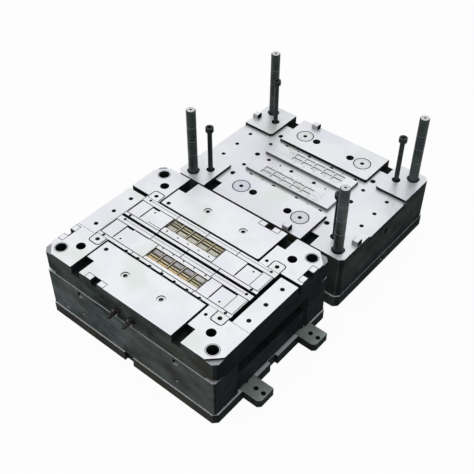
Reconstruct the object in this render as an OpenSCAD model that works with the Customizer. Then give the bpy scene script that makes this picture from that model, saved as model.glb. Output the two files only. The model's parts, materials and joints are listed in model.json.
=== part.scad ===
// Three-plate injection mould, opened, with its two halves lying side by side, parting faces up.
// The moving half stands at the origin and the fixed half behind it, along +Y.
// The origin is the centre of the knock-out hole in the bottom face of the moving clamp plate.

/* [Plates] */
// Length of the mould plates along X
plate_len = 500; // [496:1:540]
// Width of the mould plates along Y
plate_wid = 380; // [376:1:420]
// Chamfer on the upright corners of the plates
plate_corner = 10; // [4:1:11]
// Length of both clamp plates
clamp_len = 502; // [498:1:540]
// Width of both clamp plates
clamp_wid = 390; // [384:1:430]
// Thickness of the moving clamp plate
moving_clamp_thk = 28; // [26:1:40]
// Thickness of the core plate, which holds the core inserts
core_plate_thk = 62; // [56:1:80]
// Height of the spacer blocks
spacer_h = 105; // [100:1:130]
// Length of the spacer blocks
spacer_len = 494; // [480:1:500]
// Width over both spacer blocks
spacer_wid = 384; // [376:1:390]
// Gap between the two spacer blocks, where the ejector plates run
spacer_gap = 236; // [232:1:238]
// Thickness of the fixed clamp plate
fixed_clamp_thk = 32; // [30:1:45]
// Thickness of the runner stripper plate
stripper_thk = 24; // [20:1:35]
// Thickness of the cavity plate at its raised corner pads
cavity_plate_thk = 94; // [85:1:120]
// Height of the raised pads above the rest of the cavity plate
cavity_step = 8; // [6:1:14]
// Shift of the fixed half along X
fixed_x = 5; // [0:1:20]
// Shift of the fixed half along Y
fixed_y = 423; // [420:1:520]

/* [Guide pins and limit bolts] */
// Diameter of the guide pins
guide_d = 24; // [20:1:26]
// Distance between guide pins along X
guide_pitch_x = 440; // [434:1:444]
// Distance between guide pins along Y
guide_pitch_y = 326; // [322:1:330]
// Height of the guide pins above the parting face
guide_reach = 184; // [150:1:190]
// Diameter of the guide pin heads
guide_head_d = 30; // [29:1:34]
// Height of the guide pin heads
guide_head_h = 6; // [5:1:10]
// Wall of the guide bushes
bush_wall = 4; // [3:0.5:5]
// Height of the bush flanges
bush_flange_h = 6; // [4:1:10]
// Depth of the cavity plate's bushes below the parting face
bush_sink = 4; // [2:1:8]
// Radial running gap of the pins in their bushes
guide_fit = 0.03; // [0.02:0.01:0.08]
// Distance of the limit bolts from the guide pins, along X and along Y
limit_inset = 30.5; // [29:0.5:31.5]
// Diameter of the limit bolts' shoulder
limit_shank_d = 12; // [10:1:12]
// Diameter of the limit bolts' head
limit_head_d = 20; // [16:1:20]
// Height of the limit bolts' head
limit_head_h = 12; // [6:1:12]
// Diameter of the limit bolts' thread
limit_thread_d = 10; // [8:1:10]
// Length of the limit bolts' thread
limit_thread_len = 18; // [12:1:19]
// Height of the limit bolts above the parting face
limit_reach = 130; // [100:1:140]
// Depth of the seat that stops the cavity plate under the bolt head
limit_seat = 10.5; // [8:0.5:14]
// Diameter of the holes in the moving half that the limit bolts enter
limit_hole_d = 22; // [20:0.5:23]

/* [Ejection] */
// Thickness of the ejector plate
ejector_thk = 30; // [24:1:34]
// Thickness of the ejector retainer plate
retainer_thk = 25; // [18:1:28]
// Length of the two ejector plates
ejector_len = 488; // [470:1:492]
// Width of the two ejector plates
ejector_wid = 232; // [226:1:232]
// Height of the stop buttons under the ejector plate
stop_h = 5; // [4:0.5:8]
// Diameter of the stop buttons
stop_d = 25; // [20:1:30]
// Diameter of the return pins
return_d = 16; // [12:1:16]
// Distance between return pins along X
return_pitch_x = 426; // [420:1:428]
// Distance between return pins along Y
return_pitch_y = 206; // [200:1:206]
// Outer diameter of the return springs
spring_d = 26; // [24:1:28]
// Wire diameter of the return springs
spring_wire = 3.5; // [3:0.5:4]
// Turns of each return spring
spring_turns = 5; // [4:1:6]
// Diameter of the ejector pins
ejector_pin_d = 4; // [3:0.5:5]
// Diameter of the support pillars
pillar_d = 36; // [30:1:40]
// Diameter of the knock-out hole in the moving clamp plate
knockout_d = 40; // [30:1:50]
// Diameter of the thread for the machine's ejector rod
rod_thread_d = 16; // [12:1:20]

/* [Moving parting face] */
// Half length of each row of core inserts
row_half = 192; // [188:1:193]
// Depth of the channel that holds the core inserts
row_depth = 32; // [28:1:33]
// Width of the open gap along the middle
mid_gap = 6; // [4:1:8]
// Width of the rail in front of each row of core inserts
near_rail_w = 9; // [8:0.5:9]
// Width of a row of core inserts
row_w = 50.5; // [50:0.5:51]
// Width of the rail behind each row of core inserts
far_rail_w = 16.5; // [15:0.5:17]
// Side gap between a row and its rails
rail_gap = 0.5; // [0.3:0.1:0.6]
// Left end of the pressure plates
press_x0 = -156; // [-157:1:-150]
// Right end of the pressure plates
press_x1 = 134; // [126:1:135]
// Thickness of the pressure plates
press_thk = 22; // [18:1:23]
// Slot round the pressure plates
press_slot = 4; // [3:0.5:4.5]
// Length of the four open pockets beside the pressure plates
pocket_x = 26; // [22:1:27]
// Width of the four open pockets beside the pressure plates
pocket_y = 44; // [36:1:46]
// Pitch of the moulding cells
cell_pitch = 30.4; // [28:0.1:30.6]
// Left end of the front row's block of cells
cells_x0 = -61; // [-63:1:-61]
// Number of moulding cells in a row
cell_count = 5; // [3:1:5]
// Thickness of the two end bars
end_bar_thk = 25; // [18:1:28]

/* [Details] */
// Diameter of the cooling water bores
water_d = 7; // [5:0.5:7]
// Distance between the two water nipples
nipple_pitch = 44; // [40:1:60]
// Depth of the water bores below the parting face
water_depth = 39; // [38:0.5:45]
// Thickness of the clamp lugs
lug_thk = 22; // [18:1:24]
// Width of the clamp lugs
lug_w = 48; // [40:1:50]
// How far the clamp lugs stand out of the clamp plate
lug_out = 46; // [40:1:60]
// Bolt holes in the clamp lugs
lug_hole_d = 11; // [9:0.5:13]
// Eyebolt thread
eyebolt_d = 16; // [12:1:16]
// Width of the side locks' tongues
lock_w = 18; // [16:1:19]
// Height of the side locks' tongues above the parting face
lock_h = 12; // [10:1:14]
// Diameter of the stop discs
disc_d = 44; // [40:1:46]
// Outer diameter of the locating ring
ring_d = 60; // [56:1:70]

/* [Hidden] */

eps = 0.5;
hair = 0.4;
seat_gap = 0.1;
$fn = 48;

z_clamp = moving_clamp_thk;
z_core = z_clamp + spacer_h;
z_face = z_core + core_plate_thk;
z_stripper = fixed_clamp_thk;
z_cavity = z_stripper + stripper_thk;
z_pad = z_cavity + cavity_plate_thk;
z_base = z_pad - cavity_step;

limit_x = guide_pitch_x / 2 - limit_inset;
limit_y = guide_pitch_y / 2 - limit_inset;
guide_bore = guide_d + 2 * guide_fit;
bush_d = guide_bore + 2 * bush_wall;
bush_flange_d = bush_d + 6;
pin_clear_d = guide_d + 4;

steel = [0.80, 0.81, 0.82];
dark_steel = [0.24, 0.28, 0.28];
brass = [0.78, 0.62, 0.34];
plated = [0.66, 0.66, 0.46];

// Layout across the moving parting face: each half has a near rail, a row and a far rail, from front to rear
set_w = near_rail_w + rail_gap + row_w + rail_gap + far_rail_w;
channel_y = mid_gap / 2 + set_w;
press_y = channel_y + press_slot;
end_play = 3;
channel_x = row_half + end_play;
end_slot = 8;
end_notch = 3.5;
far_screw_in = 10.5;
far_groove_in = 5;
far_groove_w = 1.8;
far_groove_h = 1;

// Front and rear edge of a row and its rails, for side -1 in front and side 1 behind
function set_y(side) = side > 0 ? mid_gap / 2 : -channel_y;
function row_lo(side) = set_y(side) + near_rail_w + rail_gap;
function row_hi(side) = row_lo(side) + row_w;

z_floor = z_face - row_depth;

// Cells: the front row's run from cells_x0 and the rear row's are the same turned half round
cell_w = 29;
cell_half_d = 15.5;
cell_y0 = 30;
row_mid = cell_y0 + 12.5;
tile_sink = 1.5;
tile_h = 14;
cells_len = cell_count * cell_pitch;
block_x0 = cells_x0 - hair;
block_x1 = cells_x0 + cells_len + hair;
block_seam = 2;
bold_gap = 2.2;
end_left_x = -157;
end_right_x = 124.5;
cross_slot = 3.4;
cross_slot_in = 6;
end_step_x = 166.5;
end_step_w = 2.4;
end_step_h = 1.5;
end_band = 2.5;
relief_w = 5;
relief_h = 8;
end_relief_l = 43.5;
filler_relief_l = 23;
dowel_x = [-140.5, 149];
dowel_rear_y = 50;
dowel_front_y = -60.5;
dowel_d = 5;
dowel_h = 10;
slit_x0 = -132;
slit_x1 = -91;
slit_w = 1.5;
slit_y = 18;
slit_front_y = -22.5;
tick_y0 = 21;
tick_y1 = 25.5;
tick_w = 2.2;
tick_foot = 5.6;
tick_h = 4;
mark_d = 5;
mark_y = 23.5;
tile_edge = 1.5;
tile_trench = 3;
tile_strip_in = 10.5;
tile_strip = 3;
tile_block = 6.5;
edge = 0.8;
notch_count = 7;
notch_x0 = -103;
notch_pitch = 35.6;
notch_in = 0.5;
rail_notch_d = 8;

// Screw sizes: thread, head and seat
m4 = 4;
m6 = 6;
m8 = 8;
m12 = 12;
m16 = 16;
head_ratio = 1.6;
seat_clear = 0.5;

// Places on the parting faces
face_screw_x = 140;
face_screw_rear_y = 94;
face_screw_front_y = 104;
land_hole_x = 150;
corner_screw_y = 99;
press_bolt_x = 52.5;
press_bolt_y = 132;
end_bar_y0 = 86;
end_bar_y1 = 75.5;
left_screw_off = 5;
right_screw_off = 0.5;
end_screws_left = (-plate_len / 2 - channel_x - 1) / 2 + left_screw_off;
end_screws_right = (plate_len / 2 + channel_x + end_slot) / 2 + right_screw_off;
end_screw_mid = -6;
end_screw_pitch = 55;
clamp_block_x = 178.5;
clamp_screw_in = 13;
clamp_block_l = 29;
clamp_block_w = 26;
clamp_block_h = 18;
clamp_block_r = 6;
clamp_block_gap = 2.5;
rail_screw_x = 178;
rail_joint = 89;
lock_front_x = 89;
lock_side_y = 119;
lock_socket_l = 56;
lock_depth = 16;
lock_socket_h = 22;
lock_gap = 0.1;
pry = 28;
pry_depth = 5;
pry_low = 30;
pry_low_h = 8;

// Fixed half's parting face
pad_x = 162;
pad_y = 80;
pad_r = 9;
cav_press_x = 134;
cav_press_y = 82;
cav_press_seat = 15;
cav_row_x0 = -129;
cav_row_x1 = 122;
cav_row_y0 = 15;
cav_row_w = 51;
cav_rail_screw_y = 75;
cav_dowel_x = 70;
cav_dowel_d = 5;
cav_dowel_h = 8;
disc_edge = 1;
cav_row_seat = 25;
cav_end_x = 156;
cav_end_half = 78;
cav_end_thk = 15;
cav_screw_off = 10;
cav_screw_x = (plate_len / 2 + cav_end_x) / 2 + cav_screw_off;
cav_corner_x = 144.5;
cav_joint_depth = 24;
disc_x = 89.5;
disc_thk = 12;

// Ejection
z_ejector = z_clamp + stop_h;
z_retainer = z_ejector + ejector_thk;
z_retainer_top = z_retainer + retainer_thk;
pin_head_h = 6;
pin_head_step = 3;
small_head_ratio = 2;
small_head_h = 4;
pillar_x = 130;
pillar_y = 46;
pillar_gap = 2;
return_fit = 0.05;
free_gap = 0.5;
ejector_screw_x = 170;
ejector_screw_y = 95;
stop_y = 80;
spacer_screw_x = 100;
spacer_screw_y = 155;
spacer_grip = 20;
pillar_grip = 18;

// Side and underside details
eyebolt_x = 142;
eyebolt_y_z = 76;
eyebolt_len = 24;
low_hole_z = 137;
slot_x = 197;
slot_z = 156;
slot_l = 14;
slot_h = 6;
notch_w = 26;
notch_d = 8;
lug_front_y = -84;
lug_rear_y = 110;
lug_in = 46;
stop_clear = 2.5;
stop_x = clamp_len / 2 - lug_in - stop_clear - stop_d / 2;
lug_corner = 7;
lug_hole_in = 9;
lug_hole_pitch = 20;
lug_screw_at = [13, 34];
nipple_hex = 17;
nipple_hex_l = 8;
nipple_tail = 20;
nipple_d = 10;
nipple_thread = 10;
nipple_tail_d = 9;
nipple_neck = 5;
nipple_collar = 3;
nipple_collar_d = 12;
nipple_bore = 6;
ring_h = 10;
ring_bore = 30;
ring_screw_r = 23.5;
sprue_d = 20;
sprue_head_d = 36;
sprue_head_h = 10;
sprue_bore = 5;
nozzle_r = 15;
nozzle_dip = 3;
drop_d = 3;
gate_d = 1.4;
runner_w = 5;
runner_h = 3;
runner_over = 20;
puller_d = 5;
puller_tip = 6;
puller_seat = 12;
puller_head_h = 5;
stripper_travel = 8;
puller_bolt_x = 150;
puller_bolt_y = 150;
puller_bolt_d = 10;
puller_bolt_floor = 8;
puller_bolt_head = 7;
puller_bolt_socket = 4;
puller_bolt_thread = 16;
limit_hole_floor = 20;
land_hole_h = 20;
press_thread = 18;
cav_press_thread = 20;
cav_press_grip = 40;
cav_eyebolt_z = 40;

function chamfered(l, w, c) = [
    [-l / 2 + c, -w / 2], [l / 2 - c, -w / 2], [l / 2, -w / 2 + c], [l / 2, w / 2 - c],
    [l / 2 - c, w / 2], [-l / 2 + c, w / 2], [-l / 2, w / 2 - c], [-l / 2, -w / 2 + c]];

function cell_x(i) = cells_x0 + (i + 0.5) * cell_pitch;

// Helpers

module four(x, y) {
    for (sx = [-1, 1], sy = [-1, 1]) translate([sx * x, sy * y, 0]) children();
}

module both_rows() {
    children();
    rotate([0, 0, 180]) children();
}

module each_cell() {
    both_rows() for (i = [0 : cell_count - 1]) translate([cell_x(i), 0, 0]) children();
}

module plate_blank(l, w, t, c) {
    linear_extrude(t) polygon(chamfered(l, w, c));
}

module box_between(a, b) {
    translate(a) cube(b - a);
}

function rect(x0, y0, x1, y1) = [[x0, y0], [x1, y0], [x1, y1], [x0, y1]];

function turn(a, b) = a[0] * b[1] - a[1] * b[0];

// Cuts a chamfer c along the edges of an outline, given anticlockwise, at height z
module bevel(points, z, c) {
    n = len(points);
    for (i = [0 : n - 1]) {
        p = points[i];
        q = points[(i + 1) % n];
        d = q - p;
        before = turn(p - points[(i + n - 1) % n], d) > 0 ? c : 0;
        after = turn(d, points[(i + 2) % n] - q) > 0 ? c : 0;
        translate([p[0], p[1], z]) rotate([0, 0, atan2(d[1], d[0])]) translate([-before, 0, 0])
            rotate([90, 0, 90]) linear_extrude(norm(d) + before + after) polygon([[-c, -2 * c], [2 * c, c], [-c, c]]);
    }
}

// Block with a chamfered top edge
module slab(points, z0, z1, c) difference() {
    translate([0, 0, z0]) linear_extrude(z1 - z0) polygon(points);
    bevel(points, z1, c);
}

// Socket head screw whose head sits on z = 0, with its shank below
module screw(d, len) {
    difference() {
        cylinder(d = d * head_ratio, h = d);
        translate([0, 0, d / 2]) cylinder(d = d * 0.95, h = d, $fn = 6);
    }
    translate([0, 0, -len]) cylinder(d = d, h = len);
}

// Cut for a screw head sunk below z = 0, with the shank's clearance hole through len below it
module screw_seat(d, sink, len) {
    translate([0, 0, -sink - d]) cylinder(d = d * head_ratio + 2 * seat_clear, h = d + sink + eps);
    translate([0, 0, -len]) cylinder(d = d + 2 * seat_gap, h = len + eps);
}

module screw_in(d, sink, len) {
    translate([0, 0, -sink - d]) screw(d, len);
}

// Hole for the threaded end of a screw, downwards from z = 0
module tapped(d, len) {
    translate([0, 0, -len]) cylinder(d = d + 2 * seat_gap, h = len + eps);
}

// Moving half: base

module moving_clamp_plate() color(dark_steel) difference() {
    plate_blank(clamp_len, clamp_wid, moving_clamp_thk, plate_corner);
    translate([0, 0, -eps]) cylinder(d = knockout_d, h = moving_clamp_thk + 2 * eps);
    for (s = [-1, 1]) {
        translate([-notch_w / 2, s * clamp_wid / 2 - notch_d, -eps]) cube([notch_w, 2 * notch_d, moving_clamp_thk + 2 * eps]);
        translate([s * clamp_len / 2 - notch_d, -notch_w / 2, -eps]) cube([2 * notch_d, notch_w, moving_clamp_thk + 2 * eps]);
    }
    translate([0, 0, -eps]) four(guide_pitch_x / 2, guide_pitch_y / 2)
        cylinder(d = pin_clear_d, h = moving_clamp_thk + 2 * eps);
    four(spacer_screw_x, spacer_screw_y) mirror([0, 0, 1]) screw_seat(m16, 2, moving_clamp_thk + eps);
    four(pillar_x, pillar_y) mirror([0, 0, 1]) screw_seat(m8, 2, moving_clamp_thk + eps);
    translate([0, 0, z_clamp]) four(stop_x, stop_y) tapped(m8, 10);
    for (y = lug_ys) {
        translate([clamp_len / 2 - lug_in - hair, y - lug_w / 2 - hair, z_clamp - lug_thk])
            cube([lug_in + 2 * eps + hair, lug_w + 2 * hair, lug_thk + eps]);
    }
    lug_screw_places() translate([0, 0, -lug_thk]) tapped(m8, z_clamp - lug_thk + eps);
}

module spacer_block(side) color(dark_steel) mirror([0, side < 0 ? 1 : 0, 0]) {
    difference() {
        translate([0, 0, z_clamp]) intersection() {
            plate_blank(spacer_len, spacer_wid, spacer_h, plate_corner / 2);
            translate([-spacer_len / 2, spacer_gap / 2, 0]) cube([spacer_len, spacer_wid, spacer_h]);
        }
        for (s = [-1, 1]) {
            translate([s * guide_pitch_x / 2, guide_pitch_y / 2, z_clamp - eps])
                cylinder(d = pin_clear_d, h = spacer_h + 2 * eps);
            translate([s * limit_x, limit_y, z_clamp + limit_hole_floor]) cylinder(d = limit_hole_d, h = spacer_h);
            translate([s * spacer_screw_x, spacer_screw_y, z_clamp - eps])
                cylinder(d = m16 + 1, h = spacer_h + 2 * eps);
            translate([s * eyebolt_x, spacer_wid / 2 + eps, z_face - eyebolt_y_z]) rotate([90, 0, 0])
                cylinder(d = eyebolt_d, h = eyebolt_len + eps);
            translate([s * eyebolt_x, spacer_wid / 2 + eps, z_face - low_hole_z]) rotate([90, 0, 0])
                cylinder(d = m8, h = eyebolt_len / 2);
        }
        if (side < 0) translate([-slot_x - slot_l / 2, spacer_wid / 2 - slot_h, z_face - slot_z])
            cube([slot_l, slot_h + eps, slot_h]);
    }
}

module spacer_block_front() spacer_block(-1);

module spacer_block_rear() spacer_block(1);

module spacer_screws() color(dark_steel) {
    four(spacer_screw_x, spacer_screw_y) mirror([0, 0, 1]) screw_in(m16, 2, z_core - m16 - 2 + spacer_grip);
    four(pillar_x, pillar_y) mirror([0, 0, 1]) screw_in(m8, 2, z_clamp - m8 - 2 + pillar_grip);
}

module support_pillars() color(steel) four(pillar_x, pillar_y) difference() {
    translate([0, 0, z_clamp]) cylinder(d = pillar_d, h = spacer_h);
    translate([0, 0, z_clamp - eps]) cylinder(d = m8 + 2 * seat_gap, h = pillar_grip + 4 + eps);
}

module stop_buttons() color(steel) four(stop_x, stop_y) {
    translate([0, 0, z_clamp]) cylinder(d = stop_d, h = stop_h);
    translate([0, 0, z_clamp - 8]) cylinder(d = m8, h = 8 + stop_h / 2);
}

lug_ys = [lug_front_y, lug_rear_y];

// Screw places along a lug, on its top face
module lug_screw_places() for (y = lug_ys, x = lug_screw_at) translate([clamp_len / 2 - x, y, z_clamp]) children();

module clamp_lugs() color(steel) difference() {
    for (y = lug_ys) translate([clamp_len / 2, y, z_clamp - lug_thk]) difference() {
        linear_extrude(lug_thk) polygon([
            [-lug_in, -lug_w / 2], [lug_out - lug_corner, -lug_w / 2], [lug_out, -lug_w / 2 + lug_corner],
            [lug_out, lug_w / 2 - 1], [lug_out - 1, lug_w / 2], [-lug_in, lug_w / 2]]);
        for (x = [lug_out - lug_hole_in - lug_hole_pitch, lug_out - lug_hole_in]) translate([x, 0, -eps])
            cylinder(d = lug_hole_d, h = lug_thk + 2 * eps);
    }
    lug_screw_places() screw_seat(m8, 1, lug_thk + eps);
}

module lug_screws() color(dark_steel) lug_screw_places() screw_in(m8, 1, z_clamp - m8 - 2);

// Moving half: core plate and what is let into its parting face

pad_line = -press_x0 + press_slot;
press_outline = [
    [press_x0, press_y], [press_x1, press_y], [press_x1, plate_wid / 2],
    [-pad_line + pocket_x, plate_wid / 2], [-pad_line + pocket_x, plate_wid / 2 - pocket_y],
    [press_x0, plate_wid / 2 - pocket_y]];
press_corner = 8;
press_corner_slot = 1;
land_x = press_x1 + press_slot + press_corner_slot;

// Distance from the middle of the screws beside the clamp blocks
function face_y(side) = side > 0 ? face_screw_rear_y : face_screw_front_y;

module press_recess() {
    polygon([
        [-pad_line, channel_y - eps], [land_x, channel_y - eps], [land_x, plate_wid / 2 - pocket_y],
        [pad_line, plate_wid / 2 - pocket_y], [pad_line, plate_wid / 2 + eps], [-pad_line, plate_wid / 2 + eps]]);
}

module core_plate() color(dark_steel) difference() {
    translate([0, 0, z_core]) plate_blank(plate_len, plate_wid, core_plate_thk, plate_corner);
    for (sx = [-1, 1], sy = [-1, 1]) scale([sx, sy, 1]) {
        translate([plate_len / 2, plate_wid / 2, z_face - pry_depth]) linear_extrude(pry_depth + eps)
            polygon([[-pry, eps], [eps, eps], [eps, -pry]]);
        translate([plate_len / 2, plate_wid / 2, z_core - eps]) linear_extrude(pry_low_h + eps)
            polygon([[-pry_low, eps], [eps, eps], [eps, -pry_low]]);
    }
    box_between([-channel_x, -channel_y, z_floor], [channel_x, channel_y, z_face + eps]);
    for (s = [0, 1]) mirror([0, s, 0]) {
        translate([0, 0, z_face - press_thk]) linear_extrude(press_thk + eps) press_recess();
        translate([0, 0, z_face - press_thk]) {
            for (x = [-press_bolt_x, press_bolt_x]) translate([x, press_bolt_y, 0]) tapped(m12, press_thread);
            translate([-face_screw_x, face_y(1 - 2 * s), 0]) tapped(m6, 14);
        }
        translate([land_hole_x, face_y(1 - 2 * s), z_face]) tapped(m8, land_hole_h);
    }
    box_between([channel_x - eps, -end_bar_y0, z_face - end_bar_thk], [plate_len / 2 + eps, channel_y + end_notch, z_face + eps]);
    box_between([-plate_len / 2 - eps, -end_bar_y0, z_face - end_bar_thk], [-channel_x - 1, end_bar_y0, z_face + eps]);
    end_screw_places() translate([0, 0, -end_bar_thk]) tapped(m6, 14);
    clamp_places() translate([0, 0, -clamp_block_h]) {
        linear_extrude(clamp_block_h + eps) clamp_outline(clamp_block_gap, eps + hair);
        translate([0, clamp_screw_in, 0]) tapped(m6, 14);
    }
    four(guide_pitch_x / 2, guide_pitch_y / 2) translate([0, 0, z_core]) {
        translate([0, 0, -eps]) cylinder(d = bush_d, h = core_plate_thk + 2 * eps);
        translate([0, 0, -eps]) cylinder(d = bush_flange_d + 2 * seat_gap, h = bush_flange_h + eps);
    }
    four(limit_x, limit_y) translate([0, 0, z_core - eps]) cylinder(d = limit_hole_d, h = core_plate_thk + 2 * eps);
    four(return_pitch_x / 2, return_pitch_y / 2) translate([0, 0, z_core - eps])
        cylinder(d = return_d + 2 * return_fit, h = core_plate_thk + 2 * eps);
    each_cell() translate([0, -pin_row_y, z_core - eps])
        cylinder(d = ejector_pin_d + 2 * free_gap, h = core_plate_thk);
    four(spacer_screw_x, spacer_screw_y) translate([0, 0, z_core - eps]) cylinder(d = m16 + 2 * seat_gap, h = spacer_grip + 4 + eps);
    rail_screw_places() translate([0, 0, -row_depth]) tapped(m4, 10);
    side_lock_places() translate([-lock_socket_l / 2 - hair / 4, -lock_depth, -lock_socket_h])
        cube([lock_socket_l + hair / 2, lock_depth + eps, lock_socket_h + eps]);
    for (s = [-1, 1]) translate([s * nipple_pitch / 2, -plate_wid / 2 - eps, z_face - water_depth])
        rotate([-90, 0, 0]) cylinder(d = water_d, h = plate_wid * 0.7);
    for (s = [-1, 1]) translate([s * nipple_pitch / 2, -plate_wid / 2 - eps, z_face - water_depth])
        rotate([-90, 0, 0]) cylinder(d = nipple_d + 2 * seat_gap, h = nipple_thread + 2 + eps);
}

pin_row_y = cell_y0 + cell_half_d * 1.5 + 0.5;

// Places of the end bars' screws, on the parting face
module end_screw_places() for (x = [end_screws_left, end_screws_right], y = [-1, 0, 1])
    translate([x, end_screw_mid + y * end_screw_pitch, z_face]) children();

// Puts children at the middle of each clamp block's inner edge, with +Y pointing outwards
module clamp_places() for (s = [-1, 1], t = [0, 1]) mirror([0, t, 0])
    translate([s * clamp_block_x, channel_y + hair, z_face]) children();

// Clamp block with its two outer corners rounded, grown by g and reaching back inwards
module clamp_outline(g, back) {
    l = clamp_block_l / 2 + g;
    w = clamp_block_w + g;
    r = clamp_block_r + g;
    translate([-l, -back]) square([2 * l, w - r + back]);
    translate([-l + r, 0]) square([2 * (l - r), w]);
    for (s = [-1, 1]) translate([s * (l - r), w - r]) circle(r);
}

// Puts children at the four side locks, with +Y pointing out of the plate and z = 0 on the face
module side_lock_places() {
    for (s = [0, 180]) rotate([0, 0, s]) {
        translate([-lock_front_x, -plate_wid / 2, z_face]) rotate([0, 0, 180]) children();
        translate([-plate_len / 2, -lock_side_y, z_face]) rotate([0, 0, 90]) children();
    }
}

module side_lock_sockets() color(steel) side_lock_places() difference() {
    slab(rect(-lock_socket_l / 2, -lock_depth, lock_socket_l / 2, 0), -lock_socket_h, 0, edge);
    translate([-lock_w / 2 - lock_gap, -lock_depth - eps, -lock_h - 2])
        cube([lock_w + 2 * lock_gap, lock_depth + 2 * eps, lock_h + 2 + eps]);
}

module core_guide_bushes() color(steel) four(guide_pitch_x / 2, guide_pitch_y / 2)
    translate([0, 0, z_core]) difference() {
        union() {
            cylinder(d = bush_d - 0.02, h = core_plate_thk);
            cylinder(d = bush_flange_d, h = bush_flange_h);
        }
        translate([0, 0, -eps]) cylinder(d = guide_bore, h = core_plate_thk + 2 * eps);
        translate([0, 0, core_plate_thk - 1]) cylinder(d1 = guide_bore, d2 = guide_bore + 4, h = 2);
    }

module pressure_plate(side) color(steel) mirror([0, side < 0 ? 1 : 0, 0]) difference() {
    slab(press_outline, z_face - press_thk, z_face, edge);
    if (side > 0) translate([press_x1 - press_corner, press_y, z_face - press_thk - eps])
        linear_extrude(press_thk + 2 * eps) difference() {
            translate([0, -eps]) square(press_corner + eps);
            translate([0, press_corner]) circle(press_corner);
        }
    for (x = [-press_bolt_x, press_bolt_x]) translate([x, press_bolt_y, z_face])
        screw_seat(m12, 2, press_thk + eps);
    translate([-face_screw_x, face_y(side), z_face]) screw_seat(m6, 1, press_thk + eps);
    translate([side * lock_front_x - lock_socket_l / 2 - hair / 4, plate_wid / 2 - lock_depth, z_face - press_thk - eps])
        cube([lock_socket_l + hair / 2, lock_depth + eps, press_thk + 2 * eps]);
}

module pressure_plate_front() pressure_plate(-1);

module pressure_plate_rear() pressure_plate(1);

module pressure_plate_screws() color(dark_steel) for (sx = [-1, 1], sy = [-1, 1])
    translate([sx * press_bolt_x, sy * press_bolt_y, z_face]) screw_in(m12, 2, press_thk + 2);

// Slots, dowel holes and edge reliefs cut into the pieces of a row
module row_cuts(side) {
    for (x = [end_left_x, end_right_x])
        box_between([x - cross_slot / 2, row_lo(side) + cross_slot_in, z_face - relief_h],
            [x + cross_slot / 2, row_hi(side) + eps, z_face + eps]);
    for (a = [[end_left_x - cross_slot / 2, filler_relief_l], [end_right_x - cross_slot / 2, end_relief_l]])
        box_between([a[0], row_hi(side) - relief_w, z_face - relief_h], [a[0] + a[1], row_hi(side) + eps, z_face + eps]);
    box_between([end_step_x - end_step_w / 2, row_lo(side) - eps, z_face - end_step_h],
        [end_step_x + end_step_w / 2, row_hi(side) - relief_w - 1, z_face + eps]);
    box_between([row_half - end_band, row_lo(side) - eps, z_face - end_step_h],
        [row_half + eps, row_hi(side) + eps, z_face + eps]);
    for (x = dowel_x) translate([x, side > 0 ? dowel_rear_y : dowel_front_y, z_face - dowel_h])
        cylinder(d = dowel_d, h = dowel_h + eps);
    translate([slit_x0, side > 0 ? slit_y : slit_front_y, z_face - relief_h])
        cube([slit_x1 - slit_x0, slit_w, relief_h + eps]);
}

module row_piece(side, x0, x1) difference() {
    slab(rect(x0, row_lo(side), x1, row_hi(side)), z_floor, z_face, edge);
    row_cuts(side);
}

module core_end_blocks() color(steel) for (side = [-1, 1]) {
    row_piece(side, -row_half, end_left_x - hair / 2);
    row_piece(side, end_right_x + hair / 2, row_half);
}

// Left and right end of a row's core block
function core_x0(side) = side > 0 ? -block_x1 : block_x0;
function core_x1(side) = side > 0 ? -block_x0 : block_x1;

bold_depth = 6;
bold_front_len = 13;

module core_filler_blocks() color(steel) for (side = [-1, 1]) difference() {
    union() {
        row_piece(side, end_left_x + hair / 2, core_x0(side) - hair);
        row_piece(side, core_x1(side) + hair, end_right_x - hair / 2);
    }
    if (side > 0) box_between([core_x0(side) - hair - bold_gap, row_lo(side) - eps, z_face - bold_depth],
        [core_x0(side), row_hi(side) + eps, z_face + eps]);
    if (side < 0) box_between([core_x1(side), row_hi(side) - bold_front_len, z_face - bold_depth],
        [core_x1(side) + hair + bold_gap, row_hi(side) + eps, z_face + eps]);
}

module core_block(side) color(steel) difference() {
    slab(rect(core_x0(side), row_lo(side), core_x1(side), row_hi(side)), z_floor, z_face, edge);
    if (side > 0) box_between([core_x0(side) - eps, row_lo(side) - eps, z_face - bold_depth],
        [core_x1(side) + eps, row_lo(side) + block_seam, z_face + eps]);
    rotate([0, 0, side > 0 ? 180 : 0]) {
        for (i = [0 : cell_count - 1]) translate([cell_x(i), 0, 0]) {
            translate([-cell_w / 2 - hair / 4, -cell_y0 - 2 * cell_half_d - 1 - hair / 4, z_face - tile_sink - tile_h])
                cube([cell_w + hair / 2, 2 * cell_half_d + 1 + hair / 2, tile_h + tile_sink + eps]);
            translate([0, -pin_row_y, z_floor - eps]) cylinder(d = ejector_pin_d + 2 * free_gap, h = row_depth);
        }
        for (i = [0 : cell_count - 2]) translate([cell_x(i), 0, z_face - tick_h]) {
            translate([-tick_w / 2, -tick_y1, 0]) cube([tick_w, tick_y1 - tick_y0, tick_h + eps]);
            translate([tick_w / 2 - tick_foot, -tick_y0 - tick_w / 2, 0]) cube([tick_foot, tick_w / 2, tick_h + eps]);
        }
        translate([cell_x(cell_count - 1) + tick_w, -mark_y, z_face - tick_h]) cylinder(d = mark_d, h = tick_h + eps);
    }
}

module core_block_front() core_block(-1);

module core_block_rear() core_block(1);

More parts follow.
